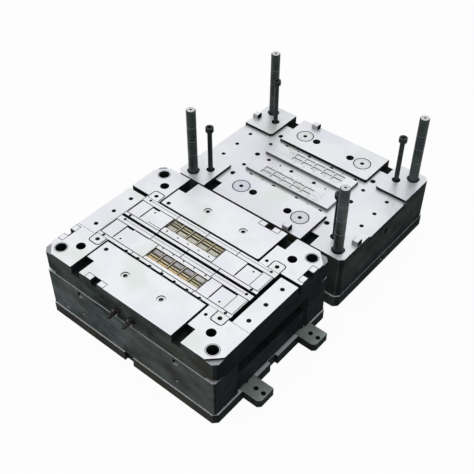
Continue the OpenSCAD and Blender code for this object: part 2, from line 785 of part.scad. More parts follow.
// Half of a cell: the holed half has a strip and a block with a trench between them
module tile(y, holed) difference() {
    translate([-cell_w / 2, y, z_face - tile_sink - tile_h]) {
        cube([cell_w, cell_half_d, tile_h - tile_trench]);
        if (holed) {
            translate([tile_edge, tile_edge / 3, 0]) cube([cell_w - 2 * tile_edge, tile_block, tile_h]);
            translate([tile_edge, tile_strip_in, 0]) cube([cell_w - 2 * tile_edge, tile_strip, tile_h]);
        } else {
            translate([tile_edge, tile_edge, 0]) cube([cell_w - 2 * tile_edge, cell_half_d - 2 * tile_edge, tile_h - 1]);
            translate([2 * tile_edge, 2 * tile_edge, 0])
                cube([cell_w - 4 * tile_edge, cell_half_d - 4 * tile_edge, tile_h]);
        }
    }
    if (holed) translate([0, -pin_row_y, z_floor]) cylinder(d = ejector_pin_d + 2 * seat_gap, h = row_depth + eps);
}

tile_top_y = -cell_y0 - cell_half_d;
tile_low_y = -cell_y0 - 2 * cell_half_d - 1;

module core_tiles_steel() color(dark_steel * 2) both_rows() for (i = [0 : cell_count - 2])
    translate([cell_x(i), 0, 0]) tile(tile_top_y, false);

module core_tiles_brass() color(brass) both_rows() for (i = [0 : cell_count - 2])
    translate([cell_x(i), 0, 0]) tile(tile_low_y, true);

module core_tiles_plated() color(plated) both_rows() translate([cell_x(cell_count - 1), 0, 0]) {
    tile(tile_top_y, false);
    tile(tile_low_y, true);
}

// Rails are cut into lengths, each held at the row's ends by the screws there
rail_ends = [-channel_x, -rail_joint, 0, rail_joint, channel_x];

module rail_set(y0, w) for (i = [0 : 3])
    slab(rect(rail_ends[i] + hair / 2, y0, rail_ends[i + 1] - hair / 2, y0 + w), z_floor, z_face, edge);

// Shallow groove along a far rail
module far_groove(side) box_between(
    [-rail_screw_x + far_groove_in, row_hi(side) + rail_gap + far_screw_in - far_groove_w, z_face - far_groove_h],
    [rail_screw_x - far_groove_in, row_hi(side) + rail_gap + far_screw_in, z_face + eps]);

near_centre = near_rail_w / 2;
rail_screw_ys = [
    set_y(-1) + near_centre, row_hi(-1) + rail_gap + far_screw_in, set_y(1) + near_centre,
    row_hi(1) + rail_gap + far_screw_in];

module rail_screw_places() for (s = [-1, 1], y = rail_screw_ys) translate([s * rail_screw_x, y, z_face]) children();

module inner_rails() color(steel) difference() {
    union() {
        rail_set(set_y(1), near_rail_w);
        rail_set(row_hi(-1) + rail_gap, far_rail_w);
    }
    far_groove(-1);
    rail_screw_places() screw_seat(m4, 1, row_depth + eps);
}

module outer_rails() color(steel) difference() {
    union() {
        rail_set(set_y(-1), near_rail_w);
        rail_set(row_hi(1) + rail_gap, far_rail_w);
    }
    far_groove(1);
    rail_screw_places() screw_seat(m4, 1, row_depth + eps);
    for (k = [0 : notch_count - 1]) translate([notch_x0 + k * notch_pitch, notch_in - channel_y, z_face - relief_h])
        cylinder(d = rail_notch_d, h = relief_h + eps);
}

module core_rail_screws() color(dark_steel) rail_screw_places() screw_in(m4, 1, row_depth + 2);

module clamp_blocks() color(steel) clamp_places() difference() {
    translate([0, 0, -clamp_block_h]) linear_extrude(clamp_block_h) clamp_outline(0, 0);
    translate([0, clamp_screw_in, 0]) screw_seat(m6, 1, clamp_block_h + eps);
}

module end_bar(x0, x1, y0, y1) color(steel) difference() {
    slab(rect(x0, y0, x1, y1), z_face - end_bar_thk, z_face, edge);
    end_screw_places() screw_seat(m6, 1, end_bar_thk + eps);
}

module end_bar_left() end_bar(-plate_len / 2, -channel_x - 1, -end_bar_y0, end_bar_y1);

module end_bar_right() end_bar(channel_x + end_slot, plate_len / 2, -end_bar_y0, end_bar_y1);

module core_face_screws() color(dark_steel) {
    end_screw_places() screw_in(m6, 1, end_bar_thk);
    clamp_places() translate([0, clamp_screw_in, 0]) screw_in(m6, 1, clamp_block_h);
    for (side = [-1, 1]) translate([-face_screw_x, side * face_y(side), z_face]) screw_in(m6, 1, press_thk);
}

// Plugs for quick couplings: a hexagon, a collar and a plain tail
module water_nipples() color([0.2, 0.18, 0.16]) for (s = [-1, 1])
    translate([s * nipple_pitch / 2, -plate_wid / 2, z_face - water_depth]) rotate([90, 0, 0]) difference() {
        union() {
            translate([0, 0, -nipple_thread]) cylinder(d = nipple_d, h = nipple_thread);
            cylinder(d = nipple_hex / cos(30), h = nipple_hex_l, $fn = 6);
            translate([0, 0, nipple_hex_l]) cylinder(d = nipple_tail_d, h = nipple_tail);
            translate([0, 0, nipple_hex_l + nipple_neck]) cylinder(d = nipple_collar_d, h = nipple_collar);
        }
        translate([0, 0, -nipple_thread - eps])
            cylinder(d = nipple_bore, h = nipple_thread + nipple_hex_l + nipple_tail + 2 * eps);
    }

// Ejector set

module ejector_blank(z, t) translate([0, 0, z]) plate_blank(ejector_len, ejector_wid, t, plate_corner / 2);

module ejector_plate() color(dark_steel) difference() {
    ejector_blank(z_ejector, ejector_thk);
    four(pillar_x, pillar_y) translate([0, 0, z_ejector - eps])
        cylinder(d = pillar_d + 2 * pillar_gap, h = ejector_thk + 2 * eps);
    translate([0, 0, z_ejector - eps]) cylinder(d = rod_thread_d, h = ejector_thk + 2 * eps);
    four(ejector_screw_x, ejector_screw_y) translate([0, 0, z_ejector]) mirror([0, 0, 1])
        screw_seat(m8, 1, ejector_thk + eps);
}

module ejector_retainer() color(dark_steel) difference() {
    ejector_blank(z_retainer, retainer_thk);
    four(pillar_x, pillar_y) translate([0, 0, z_retainer - eps])
        cylinder(d = pillar_d + 2 * pillar_gap, h = retainer_thk + 2 * eps);
    four(return_pitch_x / 2, return_pitch_y / 2) translate([0, 0, z_retainer - eps]) {
        cylinder(d = return_d + 2 * free_gap, h = retainer_thk + 2 * eps);
        cylinder(d = return_d + 2 * (pin_head_step + seat_gap), h = pin_head_h + eps);
    }
    each_cell() translate([0, -pin_row_y, z_retainer - eps]) {
        cylinder(d = ejector_pin_d + 2 * seat_gap, h = retainer_thk + 2 * eps);
        cylinder(d = ejector_pin_d * small_head_ratio + 2 * seat_gap, h = small_head_h + eps);
    }
    four(ejector_screw_x, ejector_screw_y) translate([0, 0, z_retainer - eps])
        cylinder(d = m8 + 2 * seat_gap, h = 18);
}

module ejector_screws() color(dark_steel) four(ejector_screw_x, ejector_screw_y)
    translate([0, 0, z_ejector]) mirror([0, 0, 1]) screw_in(m8, 1, ejector_thk + 4);

module ejector_pins() color(steel) each_cell() translate([0, -pin_row_y, z_retainer]) {
    cylinder(d = ejector_pin_d, h = z_face - tile_sink - z_retainer);
    cylinder(d = ejector_pin_d * small_head_ratio, h = small_head_h);
}

module return_pins() color(steel) four(return_pitch_x / 2, return_pitch_y / 2) translate([0, 0, z_retainer]) {
    cylinder(d = return_d, h = z_face - z_retainer);
    cylinder(d = return_d + 2 * pin_head_step, h = pin_head_h);
}

// Round-wire spring between z = 0 and z = h, its ends ground flat
module spring(outer, wire, turns, h) {
    steps = 14;
    sides = 6;
    n = turns * steps;
    r = (outer - wire) / 2;
    ring = [for (i = [0 : n], j = [0 : sides - 1])
        let (a = 360 * i / steps, b = 360 * j / sides, q = r + wire / 2 * cos(b))
        [q * cos(a), q * sin(a), wire / 2 * (1 + sin(b)) + (h - wire) * i / n]];
    walls = [for (i = [0 : n - 1], j = [0 : sides - 1])
        [i * sides + j, i * sides + (j + 1) % sides, (i + 1) * sides + (j + 1) % sides, (i + 1) * sides + j]];
    ends = [[for (j = [sides - 1 : -1 : 0]) j], [for (j = [0 : sides - 1]) n * sides + j]];
    polyhedron(ring, concat(walls, ends), convexity = 10);
}

module return_springs() color(steel) four(return_pitch_x / 2, return_pitch_y / 2)
    translate([0, 0, z_retainer_top]) spring(spring_d, spring_wire, spring_turns, z_core - z_retainer_top);

// Fixed half, drawn about its own axis

module placed() translate([fixed_x, fixed_y, 0]) children();

module fixed_clamp_plate() color(dark_steel) placed() difference() {
    plate_blank(clamp_len, clamp_wid, fixed_clamp_thk, plate_corner);
    four(guide_pitch_x / 2, guide_pitch_y / 2) translate([0, 0, -eps]) {
        cylinder(d = guide_d + 0.02, h = fixed_clamp_thk + 2 * eps);
        cylinder(d = guide_head_d + 2 * seat_gap, h = guide_head_h + eps);
    }
    translate([0, 0, -eps]) {
        cylinder(d = ring_d + 2 * seat_gap, h = ring_h + eps);
        cylinder(d = sprue_head_d + 2 * seat_gap, h = ring_h + sprue_head_h + eps);
        cylinder(d = sprue_d + 2 * seat_gap, h = fixed_clamp_thk + 2 * eps);
    }
    ring_screw_places() tapped(m4, m12 + ring_h);
    puller_places() translate([0, 0, -eps]) {
        cylinder(d = puller_d + 2 * seat_gap, h = fixed_clamp_thk + 2 * eps);
        cylinder(d = puller_d * small_head_ratio + 2 * seat_gap, h = puller_seat + eps);
    }
    four(puller_bolt_x, puller_bolt_y) translate([0, 0, -eps]) {
        cylinder(d = puller_bolt_d + 2 * free_gap, h = fixed_clamp_thk + 2 * eps);
        cylinder(d = puller_bolt_d * head_ratio + 2 * free_gap, h = fixed_clamp_thk - puller_bolt_floor + eps);
    }
    translate([clamp_len / 2 + eps, 0, fixed_clamp_thk / 2]) rotate([0, -90, 0]) cylinder(d = m12, h = eyebolt_len + eps);
}

module guide_pins() color(dark_steel * 1.3) placed() four(guide_pitch_x / 2, guide_pitch_y / 2) difference() {
    union() {
        cylinder(d = guide_head_d, h = guide_head_h);
        cylinder(d = guide_d, h = z_pad + guide_reach - 2);
        translate([0, 0, z_pad + guide_reach - 2]) cylinder(d1 = guide_d, d2 = guide_d - 3, h = 2);
    }
    translate([0, 0, z_pad + guide_reach - 5]) cylinder(d1 = 0.5, d2 = 6, h = 5.1);
    for (k = [0 : 2]) translate([0, 0, z_pad + guide_reach * (0.3 + 0.22 * k)]) difference() {
        cylinder(d = guide_d + 1, h = 3);
        translate([0, 0, -eps]) cylinder(d = guide_d - 1.2, h = 3 + 2 * eps);
    }
}

// Screw places of the locating ring: its outer face is down, so the screws point up
module ring_screw_places() for (a = [45, 225]) rotate([0, 0, a]) translate([ring_screw_r, 0, 0]) mirror([0, 0, 1])
    children();

module locating_ring() color(steel) placed() difference() {
    cylinder(d = ring_d, h = ring_h);
    translate([0, 0, -eps]) cylinder(d = ring_bore, h = ring_h + 2 * eps);
    ring_screw_places() screw_seat(m4, 1, ring_h + eps);
}

module ring_screws() color(dark_steel) placed() ring_screw_places() screw_in(m4, 1, ring_h + 4);

module sprue_bush() color(steel) placed() translate([0, 0, ring_h]) difference() {
    union() {
        cylinder(d = sprue_head_d, h = sprue_head_h);
        cylinder(d = sprue_d, h = fixed_clamp_thk - ring_h);
    }
    translate([0, 0, -eps]) cylinder(d = sprue_bore, h = fixed_clamp_thk + eps);
    translate([0, 0, nozzle_dip - nozzle_r]) sphere(r = nozzle_r);
}

// One drop of melt for each cell: the fixed half's rows answer the moving half's when it is turned over
module puller_places() each_cell() translate([0, row_mid, 0]) children();

module runner_puller_pins() color(steel) placed() puller_places() {
    translate([0, 0, puller_seat - puller_head_h]) cylinder(d = puller_d * small_head_ratio, h = puller_head_h);
    translate([0, 0, puller_seat]) cylinder(d = puller_d, h = z_cavity + puller_tip - puller_seat);
}

// Runner stripper plate, which carries the limit bolts

module stripper_plate() color(dark_steel) placed() translate([0, 0, z_stripper]) difference() {
    plate_blank(plate_len, plate_wid, stripper_thk, plate_corner);
    translate([0, 0, -eps]) {
        four(guide_pitch_x / 2, guide_pitch_y / 2) cylinder(d = guide_bore, h = stripper_thk + 2 * eps);
        four(limit_x, limit_y) cylinder(d = limit_thread_d + 2 * seat_gap, h = stripper_thk + 2 * eps);
        puller_places() cylinder(d = puller_d + 2 * seat_gap, h = stripper_thk + 2 * eps);
        cylinder(d = sprue_bore, h = stripper_thk + 2 * eps);
        four(puller_bolt_x, puller_bolt_y) cylinder(d = m8 + 2 * seat_gap, h = puller_bolt_thread + 2);
    }
}

module limit_bolts() color(dark_steel) placed() four(limit_x, limit_y) {
    translate([0, 0, z_cavity - limit_thread_len]) cylinder(d = limit_thread_d, h = limit_thread_len);
    translate([0, 0, z_cavity]) cylinder(d = limit_shank_d, h = z_pad + limit_reach - limit_head_h - z_cavity);
    translate([0, 0, z_pad + limit_reach - limit_head_h]) difference() {
        cylinder(d = limit_head_d, h = limit_head_h);
        translate([0, 0, limit_head_h / 2]) cylinder(d = limit_head_d / 2, h = limit_head_h, $fn = 6);
    }
}

module stripper_bolts() color(dark_steel) placed() four(puller_bolt_x, puller_bolt_y) {
    seat = fixed_clamp_thk - puller_bolt_floor - stripper_travel - free_gap;
    translate([0, 0, seat - puller_bolt_head]) difference() {
        cylinder(d = puller_bolt_d * head_ratio, h = puller_bolt_head);
        translate([0, 0, -eps]) cylinder(d = puller_bolt_d * 0.7, h = puller_bolt_socket, $fn = 6);
    }
    translate([0, 0, seat]) cylinder(d = puller_bolt_d, h = fixed_clamp_thk - seat);
    translate([0, 0, fixed_clamp_thk]) cylinder(d = m8, h = puller_bolt_thread);
}

// Cavity plate: corner pads and pressure plates stand above the rest of the face

module cross_outline() {
    difference() {
        square([plate_len + 2 * eps, plate_wid + 2 * eps], center = true);
        four(plate_len / 2 + eps, plate_wid / 2 + eps) difference() {
            square([2 * (plate_len / 2 + eps - pad_x), 2 * (plate_wid / 2 + eps - pad_y)], center = true);
        }
    }
    for (sx = [-1, 1], sy = [-1, 1]) translate([sx * pad_x, sy * pad_y]) difference() {
        translate([sx > 0 ? 0 : -pad_r, sy > 0 ? 0 : -pad_r]) square(pad_r);
        translate([sx * pad_r, sy * pad_r]) circle(pad_r);
    }
}

cav_row_y1 = cav_row_y0 + cav_row_w;

module cavity_plate() color(steel) placed() difference() {
    translate([0, 0, z_cavity]) plate_blank(plate_len, plate_wid, cavity_plate_thk, plate_corner);
    translate([0, 0, z_base]) linear_extrude(cavity_step + eps) cross_outline();
    for (sy = [0, 1]) mirror([0, sy, 0]) {
        box_between([-cav_press_x - hair, cav_press_y, z_base - cav_press_seat],
            [cav_press_x + hair, plate_wid / 2 + eps, z_pad]);
        for (s = [-1, 1]) translate([s * press_bolt_x, press_bolt_y, z_base - cav_press_seat]) tapped(m12, cav_press_thread);
        translate([0, 0, z_base - cav_press_seat]) for (s = [-1, 1])
            translate([min(s * pad_x, s * cav_press_x), plate_wid / 2 - pocket_y, 0])
            cube([pad_x - cav_press_x, pocket_y + eps, cavity_step + cav_press_seat]);
        box_between([cav_row_x0 - hair, cav_row_y0 - hair, z_base - cav_row_seat],
            [cav_row_x1 + hair, cav_row_y1 + hair, z_pad]);
        box_between([cav_row_x0, cav_row_y1 - eps, z_base - cav_end_thk], [cav_row_x1 + hair, cav_press_y + eps, z_pad]);
    }
    box_between([cav_row_x0, -cav_row_y0 - eps, z_base - cav_end_thk], [cav_row_x1 + hair, cav_row_y0 + eps, z_pad]);
    for (sx = [-1, 1]) {
        box_between([min(sx * cav_end_x, sx * (plate_len / 2 + eps)), -cav_end_half - hair / 4, z_base - cav_end_thk],
            [max(sx * cav_end_x, sx * (plate_len / 2 + eps)), cav_end_half + hair / 4, z_pad]);
        for (y = [-1, 0, 1]) {
            translate([sx * cav_screw_x, y * end_screw_pitch, z_base - cav_end_thk]) tapped(m6, 14);
        }
    }
    cav_joint_screws() screw_seat(m6, 1, cav_joint_depth);
    cav_corner_screws() screw_seat(m8, 1, cav_joint_depth);
    cavity_row_screws() translate([0, 0, -cav_end_thk]) tapped(m6, 12);
    four(guide_pitch_x / 2, guide_pitch_y / 2) translate([0, 0, z_cavity - eps]) {
        cylinder(d = bush_d, h = cavity_plate_thk + 2 * eps);
        cylinder(d = bush_flange_d + 2 * seat_gap, h = bush_flange_h + eps);
    }
    four(limit_x, limit_y) {
        translate([0, 0, z_cavity - eps]) cylinder(d = limit_shank_d + 2 * free_gap, h = cavity_plate_thk + 2 * eps);
        translate([0, 0, z_pad - limit_seat]) cylinder(d = limit_head_d + 3 * free_gap, h = limit_seat + eps);
    }
    puller_places() translate([0, 0, z_cavity - eps]) {
        cylinder(d = puller_d + 3, h = puller_tip + 4);
        cylinder(d = drop_d, h = cavity_plate_thk);
    }
    four_locks() translate([-lock_w / 2 - hair / 4, -lock_depth - 1, -lock_foot])
        cube([lock_w + hair / 2, lock_depth + hair / 4, lock_foot + eps]);
    translate([plate_len / 2 + eps, 0, z_pad - cav_eyebolt_z]) rotate([0, -90, 0]) cylinder(d = eyebolt_d, h = eyebolt_len + eps);
    runner_channels();
}

lock_foot = 20;

// Main runner, milled into the back of the cavity plate above the drops of both rows
module runner_channels() {
    half = cells_x0 + cells_len + runner_over / 2;
    for (sy = [-1, 1]) translate([-half, sy * row_mid - runner_w / 2, z_cavity - eps])
        cube([2 * half, runner_w, runner_h + eps]);
    translate([-runner_w / 2, -row_mid, z_cavity - eps]) cube([runner_w, 2 * row_mid, runner_h + eps]);
}

// Screws beside the end plates and in the corners of the low face
module cav_joint_screws() four(cav_corner_x, end_screw_pitch) translate([0, 0, z_base]) children();

module cav_corner_screws() for (s = [-1, 1], y = [-1, 0, 1])
    translate([s * cav_corner_x, y * corner_screw_y, z_base]) children();

// Four locks of the fixed half, facing the moving half's sockets when the mould is closed
module four_locks() {
    for (s = [0, 180]) rotate([0, 0, s]) {
        translate([-lock_front_x, plate_wid / 2, z_pad]) children();
        translate([-plate_len / 2, lock_side_y, z_pad]) rotate([0, 0, 90]) children();
    }
}

lock_edge = 1.5;

module side_lock_tongues() color(steel) placed() four_locks()
    slab(rect(-lock_w / 2, -lock_depth - 1 + hair / 4, lock_w / 2, -1), -lock_foot, lock_h, lock_edge);

module cavity_guide_bushes() color(dark_steel) placed() four(guide_pitch_x / 2, guide_pitch_y / 2)
    translate([0, 0, z_cavity]) difference() {
        union() {
            cylinder(d = bush_d - 0.02, h = cavity_plate_thk - bush_sink);
            cylinder(d = bush_flange_d, h = bush_flange_h);
        }
        translate([0, 0, -eps]) cylinder(d = guide_bore, h = cavity_plate_thk);
    }

module cavity_pressure(side) color(steel) placed() mirror([0, side < 0 ? 1 : 0, 0]) difference() {
    translate([0, 0, z_base - cav_press_seat]) linear_extrude(cavity_step + cav_press_seat) difference() {
        polygon(rect(-cav_press_x, cav_press_y, cav_press_x, plate_wid / 2));
        translate([cav_press_x - pad_r, cav_press_y]) difference() {
            translate([0, -eps]) square([pad_r + eps, pad_r + eps]);
            translate([0, pad_r]) circle(pad_r);
        }
    }
    for (s = [-1, 1]) {
        translate([s * press_bolt_x, press_bolt_y, z_pad]) screw_seat(m12, 6, cav_press_grip);
        translate([s * disc_x, press_bolt_y, z_pad - disc_thk]) {
            cylinder(d = disc_d + 2 * seat_gap, h = disc_thk + eps);
            translate([0, 0, disc_thk - disc_edge]) cylinder(d1 = disc_d + 2 * seat_gap, d2 = disc_d + 4 * disc_edge, h = 2 * disc_edge);
            tapped(m6, 10);
        }
    }
    bevel(rect(-cav_press_x, cav_press_y, cav_press_x, plate_wid / 2), z_pad, edge);
    translate([side * -lock_front_x - lock_w / 2 - hair / 4, plate_wid / 2 - lock_depth - 1, z_base - cav_press_seat - eps])
        cube([lock_w + hair / 2, lock_depth + hair / 4, cav_press_seat + 2 * cavity_step + eps]);
}

module cavity_pressure_front() cavity_pressure(-1);

module cavity_pressure_rear() cavity_pressure(1);

module cavity_plate_screws() color(dark_steel) placed() four(press_bolt_x, press_bolt_y)
    translate([0, 0, z_pad]) screw_in(m12, 6, cavity_step + cav_press_seat - 2);

module stop_discs() color(steel) placed() four(disc_x, press_bolt_y) translate([0, 0, z_pad]) difference() {
    union() {
        translate([0, 0, -disc_thk]) cylinder(d = disc_d, h = disc_thk - disc_edge);
        translate([0, 0, -disc_edge]) cylinder(d1 = disc_d, d2 = disc_d - 2 * disc_edge, h = disc_edge);
    }
    screw_seat(m6, 2, disc_thk + eps);
}

module disc_screws() color(dark_steel) placed() four(disc_x, press_bolt_y) translate([0, 0, z_pad])
    screw_in(m6, 2, disc_thk);

module cavity_end_plates() color(steel) placed() for (sx = [-1, 1]) difference() {
    translate([0, 0, z_base - cav_end_thk]) linear_extrude(cav_end_thk) difference() {
        translate([min(sx * cav_end_x, sx * plate_len / 2), -cav_end_half])
            square([plate_len / 2 - cav_end_x, 2 * cav_end_half]);
        for (sy = [-1, 1]) scale([sx, sy]) translate([plate_len / 2 - pad_r, cav_end_half - pad_r]) difference() {
            square(pad_r + eps);
            circle(pad_r);
        }
    }
    for (y = [-1, 0, 1]) translate([sx * cav_screw_x, y * end_screw_pitch, z_base]) screw_seat(m6, 1, cav_end_thk + eps);
}

cav_rail_screws = [-107, -35, 35, 107];

// Screws of the three cavity rails: places on z_base
module cavity_row_screws() {
    for (y = [-1, 0, 1], x = cav_rail_screws) translate([x, y * cav_rail_screw_y, z_base]) children();
}

module cavity_rails() color(steel) placed() difference() {
    union() {
        box_between([cav_row_x0, -cav_row_y0, z_base - cav_end_thk], [cav_row_x1, cav_row_y0, z_base]);
        for (sy = [0, 1]) mirror([0, sy, 0])
            box_between([cav_row_x0, cav_row_y1, z_base - cav_end_thk], [cav_row_x1, cav_press_y, z_base]);
    }
    cavity_row_screws() screw_seat(m6, 1, cav_end_thk + eps);
    for (s = [-1, 1], y = [-1, 0, 1]) translate([s * cav_dowel_x, y * cav_rail_screw_y, z_base - cav_dowel_h])
        cylinder(d = cav_dowel_d, h = cav_dowel_h + eps);
}

module cavity_screws() color(dark_steel) placed() {
    cavity_row_screws() screw_in(m6, 1, cav_end_thk);
    cav_joint_screws() screw_in(m6, 1, cav_joint_depth - m6 - 2);
    cav_corner_screws() screw_in(m8, 1, cav_joint_depth - m8 - 2);
    for (sx = [-1, 1], y = [-1, 0, 1]) translate([sx * cav_screw_x, y * end_screw_pitch, z_base])
        screw_in(m6, 1, cav_end_thk);
}

// Row of shallow cavities that close on the core tiles, with a drop and a gate for each
module cavity_block(side) color(steel) placed() {
    depth = 2;
    difference() {
        translate([0, side > 0 ? 0 : -cav_row_y0 - cav_row_y1, 0])
            slab(rect(cav_row_x0, cav_row_y0, cav_row_x1, cav_row_y1), z_base - cav_row_seat, z_pad, edge);
        rotate([0, 0, side > 0 ? 0 : 180]) for (i = [0 : cell_count - 1]) translate([cell_x(i), 0, 0]) {
            translate([0, cell_y0 + cell_half_d, z_pad - depth]) {
                for (s = [-1, 1]) translate([-cell_w / 2 + 1, s > 0 ? 1 : 1 - cell_half_d, 0])
                    cube([cell_w - 2, cell_half_d - 3, depth + eps]);
                translate([-0.6, -cell_half_d - 6, depth / 2]) cube([1.2, 8, depth]);
            }
            translate([0, row_mid, z_base - cav_row_seat - eps]) {
                cylinder(d = drop_d, h = cav_row_seat + cavity_step - 2 * depth + eps);
                cylinder(d = gate_d, h = cav_row_seat + cavity_step + 2 * eps);
            }
        }
    }
}

module cavity_block_rear() cavity_block(1);

module cavity_block_front() cavity_block(-1);

moving_clamp_plate();
spacer_block_front();
spacer_block_rear();
core_plate();
core_guide_bushes();
pressure_plate_front();
pressure_plate_rear();
core_end_blocks();
core_filler_blocks();
core_block_front();
core_block_rear();
core_tiles_steel();
core_tiles_brass();
core_tiles_plated();
inner_rails();
outer_rails();
clamp_blocks();
end_bar_left();
end_bar_right();
side_lock_sockets();
water_nipples();
clamp_lugs();
lug_screws();
support_pillars();
stop_buttons();
spacer_screws();
core_face_screws();
core_rail_screws();
pressure_plate_screws();
ejector_plate();
ejector_retainer();
ejector_pins();
return_pins();
ejector_screws();
return_springs();
fixed_clamp_plate();
guide_pins();
locating_ring();
ring_screws();
sprue_bush();
runner_puller_pins();
stripper_plate();
limit_bolts();
stripper_bolts();
cavity_plate();
cavity_guide_bushes();
cavity_pressure_front();
cavity_pressure_rear();
cavity_end_plates();
cavity_block_front();
cavity_block_rear();
cavity_rails();
stop_discs();
side_lock_tongues();
cavity_screws();
disc_screws();
cavity_plate_screws();
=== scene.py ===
# Opened injection mould, both halves side by side on a pale floor
import bpy
import json
import math
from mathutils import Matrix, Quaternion, Vector


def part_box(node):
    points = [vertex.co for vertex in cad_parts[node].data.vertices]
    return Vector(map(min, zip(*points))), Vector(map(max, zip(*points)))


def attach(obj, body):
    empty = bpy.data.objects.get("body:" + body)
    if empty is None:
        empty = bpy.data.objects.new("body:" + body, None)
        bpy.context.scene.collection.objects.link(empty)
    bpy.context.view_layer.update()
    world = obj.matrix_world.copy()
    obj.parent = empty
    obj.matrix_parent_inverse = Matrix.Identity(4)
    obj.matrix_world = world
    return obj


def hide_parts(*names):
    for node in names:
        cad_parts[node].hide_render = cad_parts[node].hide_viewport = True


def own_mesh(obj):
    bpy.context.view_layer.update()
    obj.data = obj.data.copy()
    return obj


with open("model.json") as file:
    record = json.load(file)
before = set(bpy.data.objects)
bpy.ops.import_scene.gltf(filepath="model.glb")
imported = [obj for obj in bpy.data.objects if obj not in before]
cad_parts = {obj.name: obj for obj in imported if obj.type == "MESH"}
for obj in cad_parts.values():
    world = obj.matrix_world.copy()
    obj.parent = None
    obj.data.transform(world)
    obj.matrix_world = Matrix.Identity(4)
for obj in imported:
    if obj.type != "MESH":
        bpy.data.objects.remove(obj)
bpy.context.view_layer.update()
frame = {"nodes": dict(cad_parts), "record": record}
nodes = frame["nodes"]
print("stage: model loaded")

# Places that several pieces share, in metres
plateHalf = (0.25, 0.19)  # half the length and half the width of the mould plates
fixedMiddle = (0.005, 0.423)
movingFace = ((0, 0), plateHalf)
fixedFace = (fixedMiddle, plateHalf)

# Camera at the photograph's angle
photoCamera = {
    "place": (0.8821, -0.8844, 1.4385),  # metres
    "azimuth": 39.82,
    "elevation": 43.87,
    "roll": 0.15,
    "lens": 61.5,
    "sensor": 36,  # millimetres, as the lens
    "clip": (0.05, 50),
}


def makeCamera(values):
    data = bpy.data.cameras.new("photoCamera")
    data.lens = values["lens"]
    data.sensor_width = values["sensor"]
    data.clip_start, data.clip_end = values["clip"]
    camera = bpy.data.objects.new("photoCamera", data)
    bpy.context.scene.collection.objects.link(camera)
    turn, rise = math.radians(values["azimuth"]), math.radians(values["elevation"])
    back = Vector((math.sin(turn) * math.cos(rise), -math.cos(turn) * math.cos(rise), math.sin(rise)))
    camera.rotation_mode = "QUATERNION"
    roll = Quaternion((0, 0, 1), math.radians(values["roll"]))
    camera.rotation_quaternion = (-back).to_track_quat("-Z", "Y") @ roll
    camera.location = values["place"]
    bpy.context.scene.camera = camera


makeCamera(photoCamera)
bpy.context.scene.view_settings.view_transform = "Standard"
print("stage: camera set")


class Wire:
    # A value on its way through a node tree; sums on it add Math nodes

    def __init__(self, board, socket):
        self.board = board
        self.socket = socket

    def maths(self, operation, first, second=None, clamp=False):
        values = {0: first} if second is None else {0: first, 1: second}
        return self.board.node("ShaderNodeMath", {"operation": operation, "use_clamp": clamp}, values)

    def __add__(self, other):
        return self.maths("ADD", self, other)

    def __radd__(self, other):
        return self.maths("ADD", other, self)

    def __sub__(self, other):
        return self.maths("SUBTRACT", self, other)

    def __rsub__(self, other):
        return self.maths("SUBTRACT", other, self)

    def __mul__(self, other):
        return self.maths("MULTIPLY", self, other)

    def __rmul__(self, other):
        return self.maths("MULTIPLY", other, self)

    def __gt__(self, other):
        return self.maths("GREATER_THAN", self, other)

    def __lt__(self, other):
        return self.maths("LESS_THAN", self, other)

    def __pow__(self, other):
        return self.maths("POWER", self, other)

    def size(self):
        return self.maths("ABSOLUTE", self)

    def fraction(self):
        return self.maths("FRACT", self)

    def clamped(self):
        return self.maths("ADD", self, 0.0, clamp=True)


class Board:
    # The nodes of one tree

    def __init__(self, tree):
        self.tree = tree

    def node(self, kind, settings, values, output=0):
        made = self.tree.nodes.new(kind)
        for name, value in settings.items():
            if name == "stops":
                ramp = made.color_ramp
                for index, (place, shade) in enumerate(value):  # a new ramp has two stops already
                    stop = ramp.elements[index] if index < 2 else ramp.elements.new(place)
                    stop.position = place
                    stop.color = (*shade, 1)
            else:
                setattr(made, name, value)
        for name, value in values.items():
            if isinstance(value, Wire):
                self.tree.links.new(value.socket, made.inputs[name])
            else:
                made.inputs[name].default_value = value
        return Wire(self, made.outputs[output])

    def several(self, outputs, kind, values):
        made = self.node(kind, {}, values).socket.node
        return [Wire(self, made.outputs[name]) for name in outputs]

    def seen(self):
        # Full where the camera or a gloss looks, for a plain white ground
        camera, gloss = self.several(("Is Camera Ray", "Is Glossy Ray"), "ShaderNodeLightPath", {})
        return (camera + gloss).clamped()


# Levels between which most of a noise lies
noiseRange = (0.3, 0.7)


